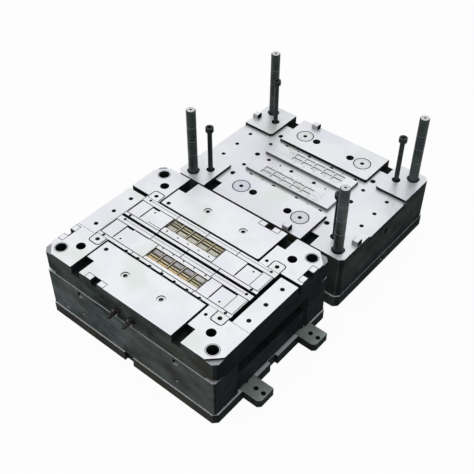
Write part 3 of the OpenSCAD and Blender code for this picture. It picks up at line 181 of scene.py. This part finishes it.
class Sheet(Board):
    # One material and its nodes

    # Places of the colour sockets on a Mix node, whose names repeat for each kind of value
    firstColour, secondColour, mixedColour = 6, 7, 2

    def __init__(self, name, **constants):
        self.material = bpy.data.materials.new(name)
        self.material.use_nodes = True
        super().__init__(self.material.node_tree)
        self.surface = self.tree.nodes["Principled BSDF"]
        for socket, value in constants.items():
            self.surface.inputs[socket.replace("_", " ")].default_value = value

    def place(self):
        return self.node("ShaderNodeTexCoord", {}, {}, "Object")

    def split(self, vector):
        return self.several("XYZ", "ShaderNodeSeparateXYZ", {"Vector": vector})

    def facing(self):
        return self.split(self.node("ShaderNodeTexCoord", {}, {}, "Normal"))

    def noise(self, vector, grain):
        if "stretch" in grain:
            vector = self.node("ShaderNodeMapping", {}, {"Vector": vector, "Scale": grain["stretch"]})
        values = {"Vector": vector, "Scale": grain["scale"], "Detail": grain["detail"],
                  "Roughness": grain["rough"]}
        return self.node("ShaderNodeTexNoise", {}, values, "Fac")

    def patches(self, vector, grain):
        return self.steps(self.noise(vector, grain), *grain["range"])

    def steps(self, value, low, high, fromLow=0.0, toHigh=1.0):
        values = {"Value": value, "From Min": low, "From Max": high, "To Min": fromLow, "To Max": toHigh}
        return self.node("ShaderNodeMapRange", {"clamp": True}, values)

    def mix(self, factor, first, second):
        def colour(value):
            return value if isinstance(value, Wire) else (*value, 1)
        values = {0: factor, self.firstColour: colour(first), self.secondColour: colour(second)}
        return self.node("ShaderNodeMix", {"data_type": "RGBA"}, values, self.mixedColour)

    def ramp(self, factor, stops):
        return self.node("ShaderNodeValToRGB", {"stops": stops}, {"Fac": factor})

    def bump(self, height, strength, distance):
        return self.node("ShaderNodeBump", {}, {"Height": height, "Strength": strength, "Distance": distance},
                         "Normal")

    def finish(self, colour, grain, values):
        # Colour, with a roughness and a bump that follow one noise
        rough = self.steps(grain, *noiseRange, *values["roughness"])
        return self.feed(Base_Color=colour, Roughness=rough, Normal=self.bump(grain, *values["bump"]))

    def feed(self, **links):
        for socket, wire in links.items():
            self.tree.links.new(wire.socket, self.surface.inputs[socket.replace("_", " ")])
        return self.material


# Ground steel: bright where it faces up near the parting face; painted shade on its sides and in its slots
groundSteel = {
    "bright": (0.80, 0.81, 0.83),
    "lilac": (0.74, 0.735, 0.80),
    "green": (0.70, 0.745, 0.72),
    "line": (0.02, 0.022, 0.025),  # dark seam lines: partly grime, partly painted shade in the seams
    # Painted shade for the walls, the long fronts and the ends; the fronts are lighter, as if lit from the
    # front left, and the lighter tone of each pair comes in with the stains
    "wall": (0.008, 0.010, 0.011),
    "wallLight": (0.026, 0.031, 0.031),
    "front": (0.022, 0.029, 0.028),
    "frontLight": (0.075, 0.088, 0.083),
    "end": (0.004, 0.006, 0.008),
    "endLight": (0.016, 0.021, 0.021),
    "rust": (0.05, 0.042, 0.032),
    "rustShare": 0.45,
    "rustPatch": {"scale": 3.85, "detail": 3.0, "rough": 0.6, "range": (0.48, 0.62)},
    "stainPatch": {"scale": 11.0, "detail": 6.0, "rough": 0.7, "stretch": (0.7, 1.0, 1.5),
                   "range": (0.38, 0.64)},
    "lilacPatch": {"scale": 6.0, "detail": 4.0, "rough": 0.6, "range": (0.42, 0.62)},
    "greenPatch": {"scale": 10.2, "detail": 2.0, "rough": 0.5, "range": (0.5, 0.68)},
    "grind": {"scale": 60.0, "detail": 2.0, "rough": 0.6, "stretch": (1.0, 22.0, 1.0)},
    "grindRange": (0.42, 0.7),
    "grindShare": 0.3,
    "fine": {"scale": 420.0, "detail": 2.0, "rough": 0.5, "stretch": (1.0, 22.0, 1.0)},
    "roughShares": (0.6, 0.4),  # of the grinding lines and of the fine ones
    "bumpShares": (0.4, 0.6),
    "roughness": (0.3, 0.46),
    "sideRoughness": 0.14,  # added where a face isn't bright
    "bump": (0.06, 0.0004),
    "endsDark": False,  # whether every face that looks along X gets painted shade
    "endFrom": 0.7,  # how far a face must turn along X to be an end
    "ledge": 0.0,  # height under which an upward face lies in shade, in metres
    "ledgeShade": 0.6,
    "rim": 0.002,  # metres within which a wall counts as the plate's outside
    "brightFrom": 0.8,  # how far a face must turn upwards
    "topMetal": 0.5,
    "sideMetal": 0.15,
}


def paleSteel(sheet, place, grind, values):
    pale = sheet.mix(sheet.patches(place, values["lilacPatch"]), values["bright"], values["lilac"])
    pale = sheet.mix(sheet.patches(place, values["greenPatch"]), pale, values["green"])
    return sheet.mix(sheet.steps(grind, *values["grindRange"]) * values["grindShare"], pale, values["bright"])


def paintedShadeSides(sheet, place, x, y, facing, values, around):
    # Painted shade, with real stains, for inner walls; and where the plate's middle and half sizes are given,
    # for its outer faces too, fronts lighter than ends and with rust
    stain = sheet.patches(place, values["stainPatch"])
    side = sheet.mix(stain, values["wall"], values["wallLight"])
    if values["endsDark"]:
        side = sheet.mix(facing[0].size() > values["endFrom"], side, values["end"])
    if around:
        (centreX, centreY), (halfX, halfY) = around
        outX = (x - centreX).size() > halfX - values["rim"]
        outY = (y - centreY).size() > halfY - values["rim"]
        rust = sheet.patches(place, values["rustPatch"]) * values["rustShare"]
        front = sheet.mix(rust, sheet.mix(stain, values["front"], values["frontLight"]), values["rust"])
        side = sheet.mix(outY, side, front)
        side = sheet.mix(outX, side, sheet.mix(stain, values["end"], values["endLight"]))
    return side


def makeSteel(name, values, lowest, around=None, marks=None):
    sheet = Sheet(name, Specular_IOR_Level=0.0)
    place = sheet.place()
    x, y, height = sheet.split(place)
    facing = sheet.facing()
    grind = sheet.noise(place, values["grind"])
    fine = sheet.noise(place, values["fine"])
    # Upward faces above the lowest level take the pale steel; all other faces take the painted shade of the
    # sides
    top = (facing[2] > values["brightFrom"]) * (height > lowest)
    pale = paleSteel(sheet, place, grind, values)
    if marks:
        pale = marks(sheet, place, x, y, pale, values)
    if values["ledge"]:
        pale = sheet.mix((height < values["ledge"]) * values["ledgeShade"], pale, values["wallLight"])
    side = paintedShadeSides(sheet, place, x, y, facing, values, around)
    shares = (values["roughShares"], values["bumpShares"])
    inRough, inBump = [grind * first + fine * second for first, second in shares]
    rough = sheet.steps(inRough, *noiseRange, *values["roughness"]) + (1 - top) * values["sideRoughness"]
    metal = top * (values["topMetal"] - values["sideMetal"]) + values["sideMetal"]
    return sheet.feed(Base_Color=sheet.mix(top, side, pale), Roughness=rough, Metallic=metal,
                      Normal=sheet.bump(inBump, *values["bump"]))


# Side locks: dark outlines of the two prongs of each
lockMarks = {
    "front": 0.089,  # place along the plate's long sides
    "side": 0.119,  # place along its short sides
    "sideFrom": 0.2,  # distance from the middle at which a lock is on a short side
    "halfLength": 0.028,
    "halfSlot": 0.009,
    "depth": 0.016,
    "line": 0.0015,
    "shade": 0.92,
}


def markLocks(sheet, place, x, y, pale, values):
    marks = lockMarks
    atSide = x.size() > marks["sideFrom"]
    atFront = 1 - atSide
    along = ((x.size() - marks["front"]) * atFront + (y.size() - marks["side"]) * atSide).size()
    inwards = (plateHalf[1] - y.size()) * atFront + (plateHalf[0] - x.size()) * atSide
    lines = (along > marks["halfLength"] - marks["line"]) + (along < marks["halfSlot"] + marks["line"])
    lines = lines + (inwards > marks["depth"] - marks["line"]) + (inwards < marks["line"])
    # The outlines take the seam colour: partly grime, partly painted shade
    return sheet.mix(lines.clamped() * marks["shade"], pale, values["line"])


def fromCentre(x, y, middle, offset):
    # Distance from the nearest of four places that lie about a middle
    across = (x - middle[0]).size() - offset[0]
    along = (y - middle[1]).size() - offset[1]
    return (across * across + along * along) ** 0.5


# Stop discs: lilac grey, with turned rings and a dark outline
discMarks = {
    "offset": (0.0895, 0.132),
    "edge": 0.0203,
    "edgeShade": 0.85,
    "ring": (0.0165, 0.0171),
    "ringShade": 0.4,
    "turns": 900,  # rings per metre
    "turnShare": 0.25,
    "tint": 0.6,
    "front": (0.58, 0.59, 0.65),
    "rear": (0.68, 0.70, 0.69),
}


def markDiscs(sheet, place, x, y, pale, values):
    marks = discMarks
    radius = fromCentre(x, y, fixedMiddle, marks["offset"])
    turns = sheet.steps((radius * marks["turns"]).fraction(), *noiseRange)
    tone = sheet.mix(y > fixedMiddle[1], marks["front"], marks["rear"])
    pale = sheet.mix(turns * marks["turnShare"] + marks["tint"], pale, tone)
    ring = (radius > marks["ring"][0]) * (radius < marks["ring"][1])
    # The dark outline and thin ring take the seam colour: partly grime, partly painted shade
    shade = ((radius > marks["edge"]) + ring * marks["ringShade"]).clamped() * marks["edgeShade"]
    return sheet.mix(shade, pale, values["line"])


# Guide bushes: a grey ring with a dark outline round the bore
bushMarks = {
    "offset": (0.22, 0.163),
    "edge": 0.0152,
    "edgeShade": 0.85,
    "colour": (0.40, 0.41, 0.42),
    "tint": 0.75,
}


def markBushes(sheet, place, x, y, pale, values):
    radius = fromCentre(x, y, (0, 0), bushMarks["offset"])
    pale = sheet.mix(bushMarks["tint"], pale, bushMarks["colour"])
    # The dark outline takes the seam colour: partly grime, partly painted shade
    return sheet.mix((radius > bushMarks["edge"]) * bushMarks["edgeShade"], pale, values["line"])


# Cells: cream between the core tiles
cellMarks = {"inner": 0.0293, "outer": 0.0627, "cream": (0.80, 0.73, 0.54), "tint": 0.9}


def markCells(sheet, place, x, y, pale, values):
    inside = (y.size() > cellMarks["inner"]) * (y.size() < cellMarks["outer"])
    return sheet.mix(inside * cellMarks["tint"], pale, cellMarks["cream"])


# Cavities: stained patches on the blocks that close on the core tiles
cavityMarks = {
    "half": 0.091,  # half the length of a row
    "stain": (0.30, 0.31, 0.31),
    "coarse": {"scale": 95.0, "detail": 4.0, "rough": 0.7, "stretch": (0.6, 3.0, 1.0), "range": (0.48, 0.62)},
    "coarseShare": 0.6,
    "specks": {"scale": 330.0, "detail": 3.0, "rough": 0.7, "range": (0.54, 0.66)},
    "specksShare": 0.5,
    "rowShade": 0.25,
    "cellShade": 0.6,  # added in the cells
}


def markCavities(sheet, place, x, y, pale, values):
    marks = cavityMarks
    away = (y - fixedMiddle[1]).size()
    inside = ((x - fixedMiddle[0]).size() < marks["half"]) * (away < cellMarks["outer"])
    shade = inside * ((away > cellMarks["inner"]) * marks["cellShade"] + marks["rowShade"])
    stained = sheet.patches(place, marks["coarse"]) * marks["coarseShare"]
    stained = stained + sheet.patches(place, marks["specks"]) * marks["specksShare"]
    return sheet.mix((stained * shade).clamped(), pale, marks["stain"])


# Turned and ground round parts: dark all round as painted shade, light on the end faces
roundSteel = {
    "end": (0.62, 0.63, 0.64),
    "endFrom": 0.9,  # how far a face must turn upwards to be an end
    "barrel": (0.028, 0.036, 0.035),
    "barrelLight": (0.075, 0.088, 0.085),
    "barrelRange": (0.38, 0.62),
    "rings": {"scale": 260.0, "detail": 2.0, "rough": 0.6, "stretch": (0.15, 0.15, 1.0)},
    "mottle": {"scale": 30.0, "detail": 4.0, "rough": 0.65, "stretch": (1.0, 1.0, 0.35)},
    "shares": (0.35, 0.65),  # of the rings and of the mottle in the barrel's colour
    "metal": 0.25,
    "shine": 0.05,
    "roughness": (0.26, 0.4),
    "bump": (0.1, 0.0003),
}


def makeRound(name, values):
    sheet = Sheet(name, Metallic=values["metal"], Specular_IOR_Level=values["shine"])
    place = sheet.place()
    up = sheet.facing()[2]
    rings = sheet.noise(place, values["rings"])
    first, second = values["shares"]
    worn = sheet.steps(rings * first + sheet.noise(place, values["mottle"]) * second, *values["barrelRange"])
    barrel = sheet.mix(worn, values["barrel"], values["barrelLight"])
    # Upward end faces take the light colour; the barrel's darkness is painted shade
    return sheet.finish(sheet.mix(up > values["endFrom"], barrel, values["end"]), rings, values)


# Black oxide on the socket screws, and tarnished copper alloy on the nipples
blackScrew = {
    "dark": (0.008, 0.009, 0.01),
    "light": (0.035, 0.037, 0.039),
    "grain": {"scale": 180.0, "detail": 3.0, "rough": 0.6},
    "range": (0.45, 0.7),
    "metal": 0.2,
    "shine": 0.05,
    "roughness": (0.35, 0.55),
    "bump": (0.15, 0.0002),
}
tarnish = {
    "dark": (0.008, 0.008, 0.007),
    "light": (0.06, 0.055, 0.046),
    "grain": {"scale": 160.0, "detail": 4.0, "rough": 0.65},
    "range": (0.4, 0.65),
    "metal": 0.5,
    "shine": 0.4,
    "roughness": (0.3, 0.5),
    "bump": (0.2, 0.0002),
}


def makePlain(name, values):
    sheet = Sheet(name, Metallic=values["metal"], Specular_IOR_Level=values["shine"])
    grain = sheet.noise(sheet.place(), values["grain"])
    colour = sheet.mix(sheet.steps(grain, *values["range"]), values["dark"], values["light"])
    return sheet.finish(colour, grain, values)


# Core tiles: bands of film across each cell, from its inner edge (0) to its outer edge (1)
tileBands = {
    "front": [(0.00, (0.06, 0.05, 0.05)), (0.06, (0.40, 0.39, 0.41)), (0.38, (0.52, 0.51, 0.53)),
              (0.41, (0.16, 0.14, 0.11)), (0.45, (0.70, 0.63, 0.47)), (0.52, (0.50, 0.41, 0.25)),
              (0.57, (0.76, 0.68, 0.48)), (0.67, (0.72, 0.62, 0.40)), (0.69, (0.03, 0.018, 0.006)),
              (0.77, (0.05, 0.028, 0.008)), (0.79, (0.78, 0.61, 0.34)), (0.98, (0.48, 0.28, 0.10))],
    "rear": [(0.00, (0.10, 0.10, 0.07)), (0.05, (0.58, 0.58, 0.50)), (0.36, (0.70, 0.69, 0.60)),
             (0.42, (0.50, 0.49, 0.36)), (0.50, (0.36, 0.36, 0.20)), (0.56, (0.50, 0.47, 0.26)),
             (0.60, (0.76, 0.72, 0.54)), (0.67, (0.72, 0.66, 0.44)), (0.70, (0.24, 0.20, 0.09)),
             (0.78, (0.32, 0.29, 0.14)), (0.80, (0.52, 0.48, 0.28)), (0.91, (0.46, 0.43, 0.25)),
             (0.93, (0.02, 0.02, 0.015))],
    "inner": 0.03,
    "depth": 0.032,
    "pitch": 0.0304,
    "start": -0.061,
    "edge": (0.70, 0.62, 0.42),
    "wearAndShade": (0.10, 0.08, 0.05),
    "frame": (0.0112, 0.0126),  # half widths between which a dark seam line runs round each face, partly grime, partly painted shade
    "frameShade": 0.85,
    "hatch": 850.0,  # lines per metre
    "hatchSlant": 0.6,
    "hatchDepth": 0.16,
    "patch": {"scale": 170.0, "detail": 4.0, "rough": 0.65, "range": (0.42, 0.72)},
    "patchDepth": 0.3,
    "grain": {"scale": 900.0, "detail": 3.0, "rough": 0.6},
    "fade": 1.0,  # distance from the mould's middle at which the film turns grey
    "fadeColour": (0.36, 0.36, 0.36),
    "fadeShare": 0.7,
    "topFrom": 0.7,
    "lowest": 0.191,
    "metal": 0.35,
    "shine": 0.4,
    "roughness": (0.36, 0.55),
    "bump": (0.2, 0.0002),
}
platedBands = {
    **tileBands,
    "front": [(0.00, (0.70, 0.66, 0.67)), (0.34, (0.80, 0.76, 0.76)), (0.44, (0.60, 0.58, 0.38)),
              (0.60, (0.70, 0.67, 0.44)), (0.68, (0.36, 0.34, 0.16)), (0.78, (0.58, 0.55, 0.32)),
              (0.98, (0.40, 0.36, 0.20))],
    "rear": [(0.00, (0.30, 0.30, 0.28)), (0.08, (0.62, 0.62, 0.58)), (0.45, (0.55, 0.55, 0.47)),
             (0.60, (0.66, 0.64, 0.50)), (0.70, (0.34, 0.33, 0.22)), (0.80, (0.52, 0.50, 0.36)),
             (0.93, (0.10, 0.10, 0.08))],
    "fade": 0.083,
}


def makeTile(name, values):
    sheet = Sheet(name, Metallic=values["metal"], Specular_IOR_Level=values["shine"])
    place = sheet.place()
    x, y, height = sheet.split(place)
    outwards = (y.size() - values["inner"]) * (1 / values["depth"])
    light = sheet.mix(y > 0, sheet.ramp(outwards, values["front"]), sheet.ramp(outwards, values["rear"]))
    turned = (y > 0) * -2 + 1  # the rear row is the front one turned half round
    along = ((x * turned - values["start"]) * (1 / values["pitch"])).fraction() - 0.5
    across = along.size() * values["pitch"]
    line = (across > values["frame"][0]) * (across < values["frame"][1])
    hatch = ((x + y * values["hatchSlant"]) * values["hatch"]).fraction() > 0.5
    worn = sheet.patches(place, values["patch"]) * values["patchDepth"] + hatch * values["hatchDepth"]
    light = sheet.mix(worn, light, values["wearAndShade"])
    light = sheet.mix((x.size() > values["fade"]) * values["fadeShare"], light, values["fadeColour"])
    light = sheet.mix(line * values["frameShade"], light, values["wearAndShade"])
    # Faces that don't look up: dark painted shade, with the edge colour beyond the frame line
    low = sheet.mix(across > values["frame"][1], values["wearAndShade"], values["edge"])
    top = (sheet.facing()[2] > values["topFrom"]) * (height > values["lowest"])
    return sheet.finish(sheet.mix(top, low, light), sheet.noise(place, values["grain"]), values)


def dress(material, names):
    for name in names:
        nodes[name].data.materials.clear()
        nodes[name].data.materials.append(material)


# Lowest levels of the bright faces, in metres; upward faces below them take painted shade
levels = {
    "corePlate": 0.188,
    "cavityPlate": 0.135,
    "moving": 0.182,
    "movingSmall": 0.18,
    "fixed": 0.128,
    "floor": 0.0,
    "none": 0.5,  # above the whole mould, for a piece with no bright face
}

# Plates: the level of each one's bright faces, and where the painted shade on its sides differs from the rest
plateFinishes = {
    "core_plate": (levels["corePlate"], {
        "front": (0.012, 0.017, 0.016), "frontLight": (0.080, 0.096, 0.090),
        "end": (0.002, 0.004, 0.006), "endLight": (0.008, 0.011, 0.013), "ledge": 0.1945,
    }),
    "cavity_plate": (levels["cavityPlate"], {
        "end": (0.008, 0.013, 0.012), "endLight": (0.036, 0.045, 0.041),
    }),
    "moving_clamp_plate": (levels["floor"], {
        "front": (0.024, 0.026, 0.023), "frontLight": (0.055, 0.055, 0.048),
    }),
    "spacer_block_front": (levels["floor"], {
        "front": (0.026, 0.035, 0.034), "frontLight": (0.120, 0.145, 0.140),
    }),
    "spacer_block_rear": (levels["floor"], {}),
    "fixed_clamp_plate": (levels["floor"], {}),
    "stripper_plate": (levels["floor"], {}),
    "ejector_plate": (levels["none"], {}),
    "ejector_retainer": (levels["none"], {}),
}
for plate, (lowest, changes) in plateFinishes.items():
    low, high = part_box(plate)
    middle = ((low[0] + high[0]) / 2, (low[1] + high[1]) / 2)
    reach = ((high[0] - low[0]) / 2, (high[1] - low[1]) / 2)
    dress(makeSteel(plate + "Steel", {**groundSteel, **changes}, lowest, (middle, reach)), [plate])

# Ground pieces: the level of their bright faces, and what else sets them apart
groundPieces = {
    "faceSteel": {
        "level": levels["moving"],
        "around": movingFace,
        "nodes": ["pressure_plate_front", "pressure_plate_rear", "core_end_blocks", "core_filler_blocks",
                  "inner_rails", "outer_rails", "clamp_blocks", "end_bar_left", "end_bar_right"],
    },
    "blockSteel": {
        "level": levels["moving"],
        "around": movingFace,
        "marks": markCells,
        "nodes": ["core_block_front", "core_block_rear"],
    },
    "socketSteel": {
        "level": levels["moving"],
        "around": movingFace,
        "marks": markLocks,
        "nodes": ["side_lock_sockets"],
    },
    "bushSteel": {"level": levels["movingSmall"], "marks": markBushes, "nodes": ["core_guide_bushes"]},
    "screwBright": {"level": levels["movingSmall"], "nodes": ["pressure_plate_screws"]},
    "cavityFaceSteel": {
        "level": levels["fixed"],
        "around": fixedFace,
        "nodes": ["cavity_pressure_front", "cavity_pressure_rear", "cavity_end_plates"],
    },
    "cavityBlockSteel": {
        "level": levels["fixed"],
        "around": fixedFace,
        "marks": markCavities,
        # Lighter painted shade on the walls of the raised rows
        "changes": {"wall": (0.10, 0.105, 0.105), "wallLight": (0.22, 0.23, 0.23)},
        "nodes": ["cavity_block_front", "cavity_block_rear", "cavity_rails"],
    },
    "tongueSteel": {
        "level": levels["fixed"],
        # Painted light on the tongues' walls, lighter than other walls, and painted shade on their ends
        "changes": {"wall": (0.34, 0.35, 0.35), "wallLight": (0.55, 0.56, 0.56), "endsDark": True},
        "nodes": ["side_lock_tongues"],
    },
    "discSteel": {"level": levels["fixed"], "around": fixedFace, "marks": markDiscs, "nodes": ["stop_discs"]},
    "lugSteel": {
        "level": levels["floor"],
        "changes": {"bright": (0.36, 0.41, 0.39), "lilac": (0.25, 0.29, 0.275), "green": (0.31, 0.36, 0.345)},
        "nodes": ["clamp_lugs"],
    },
}
for name, piece in groundPieces.items():
    values = {**groundSteel, **piece.get("changes", {})}
    dress(makeSteel(name, values, piece["level"], piece.get("around"), piece.get("marks")), piece["nodes"])

# Round pieces, screws, nipples and tiles
springSteel = makeRound("springSteel", {**roundSteel, "barrel": (0.05, 0.055, 0.055),
                                        "barrelLight": (0.16, 0.17, 0.17)})
boltBlack = makeRound("boltBlack", {**roundSteel, "end": (0.045, 0.05, 0.05), "barrel": (0.014, 0.017, 0.017),
                                    "barrelLight": (0.04, 0.048, 0.047)})
tileFilm = makeTile("tileFilm", tileBands)
dress(makeRound("pinSteel", roundSteel), ["guide_pins", "runner_puller_pins", "locating_ring", "sprue_bush"])
dress(makeRound("returnSteel", {**roundSteel, "end": (0.88, 0.89, 0.90)}), ["return_pins"])
dress(makeRound("cavityBushSteel", {**roundSteel, "end": (0.10, 0.11, 0.11)}), ["cavity_guide_bushes"])
dress(springSteel, ["support_pillars", "stop_buttons"])
dress(boltBlack, ["limit_bolts", "stripper_bolts", "ejector_pins"])
dress(makePlain("screwBlack", blackScrew),
      ["lug_screws", "spacer_screws", "core_face_screws", "core_rail_screws", "ejector_screws", "ring_screws",
       "cavity_screws", "disc_screws", "cavity_plate_screws"])
dress(makePlain("nippleBrass", tarnish), ["water_nipples"])
dress(tileFilm, ["core_tiles_brass", "core_tiles_steel"])
dress(makeTile("platedFilm", platedBands), ["core_tiles_plated"])
print("stage: finishes on the solids")


def fourPlaces(middle, offset):
    return [(middle[0] + sideX * offset[0], middle[1] + sideY * offset[1])
            for sideX in (-1, 1) for sideY in (-1, 1)]


def newPiece(name, points, faces):
    mesh = bpy.data.meshes.new(name)
    mesh.from_pydata(points, [], faces)
    piece = bpy.data.objects.new(name, mesh)
    bpy.context.scene.collection.objects.link(piece)
    return piece


class Grower(Board):
    # A Geometry Nodes tree that sets one small shape many times, at each point of a piece

    def __init__(self, name, sizes):
        super().__init__(bpy.data.node_groups.new(name, "GeometryNodeTree"))
        self.sizes = sizes
        self.sockets = {}
        self.tree.interface.new_socket(name="Geometry", in_out="INPUT", socket_type="NodeSocketGeometry")
        self.tree.interface.new_socket(name="Geometry", in_out="OUTPUT", socket_type="NodeSocketGeometry")
        for label, value in sizes.items():
            kind = "NodeSocketInt" if isinstance(value, int) else "NodeSocketFloat"
            self.sockets[label] = self.tree.interface.new_socket(name=label, in_out="INPUT", socket_type=kind)
        self.given = self.tree.nodes.new("NodeGroupInput")

    def size(self, label):
        return Wire(self, self.given.outputs[label])

    def rod(self, sides, radius, length):
        return self.node("GeometryNodeMeshCylinder", {}, {"Vertices": sides, "Radius": self.size(radius),
                                                          "Depth": self.size(length)})

    def moved(self, shape, **change):
        return self.node("GeometryNodeTransform", {}, {"Geometry": shape, **change})

    def repeat(self, shape, points=None):
        points = points or Wire(self, self.given.outputs["Geometry"])
        return self.node("GeometryNodeInstanceOnPoints", {}, {"Points": points, "Instance": shape})

    def finish(self, shape, material):
        real = self.node("GeometryNodeRealizeInstances", {}, {"Geometry": shape})
        coloured = self.node("GeometryNodeSetMaterial", {}, {"Geometry": real, "Material": material})
        self.tree.links.new(coloured.socket, self.tree.nodes.new("NodeGroupOutput").inputs[0])

    def grow(self, name, points, body):
        piece = newPiece(name, points, [])
        modifier = piece.modifiers.new(name, "NODES")
        modifier.node_group = self.tree
        for label, value in self.sizes.items():
            modifier[self.sockets[label].identifier] = value
        graph = bpy.context.evaluated_depsgraph_get()
        grown = bpy.data.meshes.new_from_object(piece.evaluated_get(graph))
        piece.modifiers.clear()
        piece.data = grown
        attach(piece, body)


# Fine ribs across the upper face of each core tile
tileRibs = {
    "sizes": {"Rib Count": 7, "Rib Pitch": 0.0013, "Rib Length": 0.0224, "Rib Radius": 0.00025},
    "sides": 6,
    "cells": 5,
    "middle": 0.03775,  # metres from the mould's middle line
    "level": 0.1935,
}


def makeRibs(values):
    sizes = values["sizes"]
    grower = Grower("tileRibs", sizes)
    rib = grower.moved(grower.rod(values["sides"], "Rib Radius", "Rib Length"), Rotation=(0, math.pi / 2, 0))
    step = grower.node("ShaderNodeCombineXYZ", {}, {"Y": grower.size("Rib Pitch")})
    row = grower.node("GeometryNodeMeshLine", {}, {"Count": grower.size("Rib Count"), "Offset": step})
    row = grower.moved(row, Translation=(0, -(sizes["Rib Count"] - 1) * sizes["Rib Pitch"] / 2, 0))
    grower.finish(grower.repeat(grower.repeat(rib, row)), tileFilm)
    points = []
    for cell in range(values["cells"]):
        along = tileBands["start"] + (cell + 0.5) * tileBands["pitch"]
        points += [(along, -values["middle"], values["level"]), (-along, values["middle"], values["level"])]
    grower.grow("tileRibs", points, "moving_half")


makeRibs(tileRibs)

# Knurl round the limit bolts' heads
headKnurl = {
    "sizes": {"Ridge Count": 36, "Head Radius": 0.01, "Ridge Length": 0.008, "Ridge Radius": 0.0003},
    "sides": 5,
    "offset": (0.1895, 0.1325),
    "level": 0.2735,
}


def makeKnurl(values):
    grower = Grower("headKnurl", values["sizes"])
    ridge = grower.rod(values["sides"], "Ridge Radius", "Ridge Length")
    ring = grower.node("GeometryNodeMeshCircle", {}, {"Vertices": grower.size("Ridge Count"),
                                                      "Radius": grower.size("Head Radius")})
    grower.finish(grower.repeat(grower.repeat(ridge, ring)), boltBlack)
    points = [(*place, values["level"]) for place in fourPlaces(fixedMiddle, values["offset"])]
    grower.grow("headKnurl", points, "stripper_set")


makeKnurl(headKnurl)
print("stage: ribs and knurls grown")

# Return springs, wound as coils between the levels of the model's return springs, which they replace
returnSprings = {
    "outer": 0.026,
    "wire": 0.0035,
    "turns": 5,
    "steps": 16,
    "sides": 6,
    "offset": (0.213, 0.103),
}


def coil(values, middle, low, high):
    # One helix of round wire between two levels, with closed ends
    wire, sides = values["wire"], values["sides"]
    count = values["turns"] * values["steps"]
    radius = (values["outer"] - wire) / 2
    rise = (high - low - wire) / count
    points, faces = [], []
    for step in range(count + 1):
        turn = math.tau * step / values["steps"]
        for side in range(sides):
            around = math.tau * side / sides
            reach = radius + wire / 2 * math.cos(around)
            points.append((middle[0] + reach * math.cos(turn), middle[1] + reach * math.sin(turn),
                           low + wire / 2 * (1 + math.sin(around)) + rise * step))
    for step in range(count):
        for side in range(sides):
            here, nearby = step * sides + side, step * sides + (side + 1) % sides
            faces.append((here, here + sides, nearby + sides, nearby))
    faces.append(tuple(range(sides)))
    faces.append(tuple(count * sides + side for side in reversed(range(sides))))
    return points, faces


def makeSprings(values):
    low, high = (corner[2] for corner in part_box("return_springs"))
    allPoints, allFaces = [], []
    for middle in fourPlaces((0, 0), values["offset"]):
        points, faces = coil(values, middle, low, high)
        first = len(allPoints)
        allPoints += points
        allFaces += [tuple(first + corner for corner in face) for face in faces]
    springs = newPiece("returnSprings", allPoints, allFaces)
    springs.data.materials.append(springSteel)
    joints = frame["record"]["behaviour"]["joints"]
    travel = next(joint["range_m"][1] for joint in joints if joint["name"] == "ejection")
    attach(springs, "moving_half")
    (high - low - travel) / (high - low)
    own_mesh(springs)
    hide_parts("return_springs")


makeSprings(returnSprings)
print("stage: return springs wound")

# Floor, world and lamps
studio = {
    "floorSize": 12.0,
    "floorColour": (0.86, 0.86, 0.87),
    "floorDark": (0.8514, 0.8514, 0.8613),
    "floorGrain": {"scale": 3.0, "detail": 2.0, "rough": 0.5, "range": noiseRange},
    "floorRoughness": 0.7,
    "floorGlow": 0.95,  # share of the floor that the camera sees as plain white
    "white": (1, 1, 1, 1),
    "worldColour": (0.95, 0.97, 1.0, 1),
    "worldLight": 0.4,
    "key": {"place": (-1.6, -1.9, 2.9), "aim": (0.0, 0.2, 0.1), "size": 5.0, "power": 43},
    "fill": {"place": (2.4, -0.6, 1.9), "aim": (0.0, 0.2, 0.1), "size": 3.0, "power": 6},
    "top": {"place": (0.1, 1.1, 3.2), "aim": (0.1, 0.4, 0.0), "size": 7.0, "power": 48},
}


def makeFloor(values):
    half = values["floorSize"] / 2
    corners = [(-half, -half, 0), (half, -half, 0), (half, half, 0), (-half, half, 0)]
    floor = newPiece("floor", corners, [(0, 1, 2, 3)])
    sheet = Sheet("floorPale", Roughness=values["floorRoughness"])
    grain = sheet.patches(sheet.place(), values["floorGrain"])
    sheet.feed(Base_Color=sheet.mix(grain, values["floorDark"], values["floorColour"]))
    glow = sheet.node("ShaderNodeEmission", {}, {"Color": values["white"], "Strength": 1.0})
    both = sheet.node("ShaderNodeMixShader", {}, {0: sheet.seen() * values["floorGlow"],
                                                  1: Wire(sheet, sheet.surface.outputs[0]), 2: glow})
    sheet.tree.links.new(both.socket, sheet.tree.nodes["Material Output"].inputs["Surface"])
    floor.data.materials.append(sheet.material)


def makeWorld(values):
    # Plain white where it is looked at, and a softer light everywhere else
    world = bpy.data.worlds.new("studioWorld")
    bpy.context.scene.world = world
    world.use_nodes = True
    board = Board(world.node_tree)
    board.tree.nodes.clear()
    soft = board.node("ShaderNodeBackground", {}, {"Color": values["worldColour"],
                                                   "Strength": values["worldLight"]})
    white = board.node("ShaderNodeBackground", {}, {"Color": values["white"], "Strength": 1.0})
    both = board.node("ShaderNodeMixShader", {}, {0: board.seen(), 1: soft, 2: white})
    board.tree.links.new(both.socket, board.tree.nodes.new("ShaderNodeOutputWorld").inputs["Surface"])


def makeLamp(name, values):
    data = bpy.data.lights.new(name, "AREA")
    data.shape = "DISK"
    data.size = values["size"]
    data.energy = values["power"]
    lamp = bpy.data.objects.new(name, data)
    bpy.context.scene.collection.objects.link(lamp)
    lamp.location = values["place"]
    aim = Vector(values["aim"]) - Vector(values["place"])
    lamp.rotation_mode = "QUATERNION"
    lamp.rotation_quaternion = aim.to_track_quat("-Z", "Y")


makeFloor(studio)
makeWorld(studio)
for lampName in ("key", "fill", "top"):
    makeLamp(lampName + "Lamp", studio[lampName])
print("stage: floor, world and lamps made")
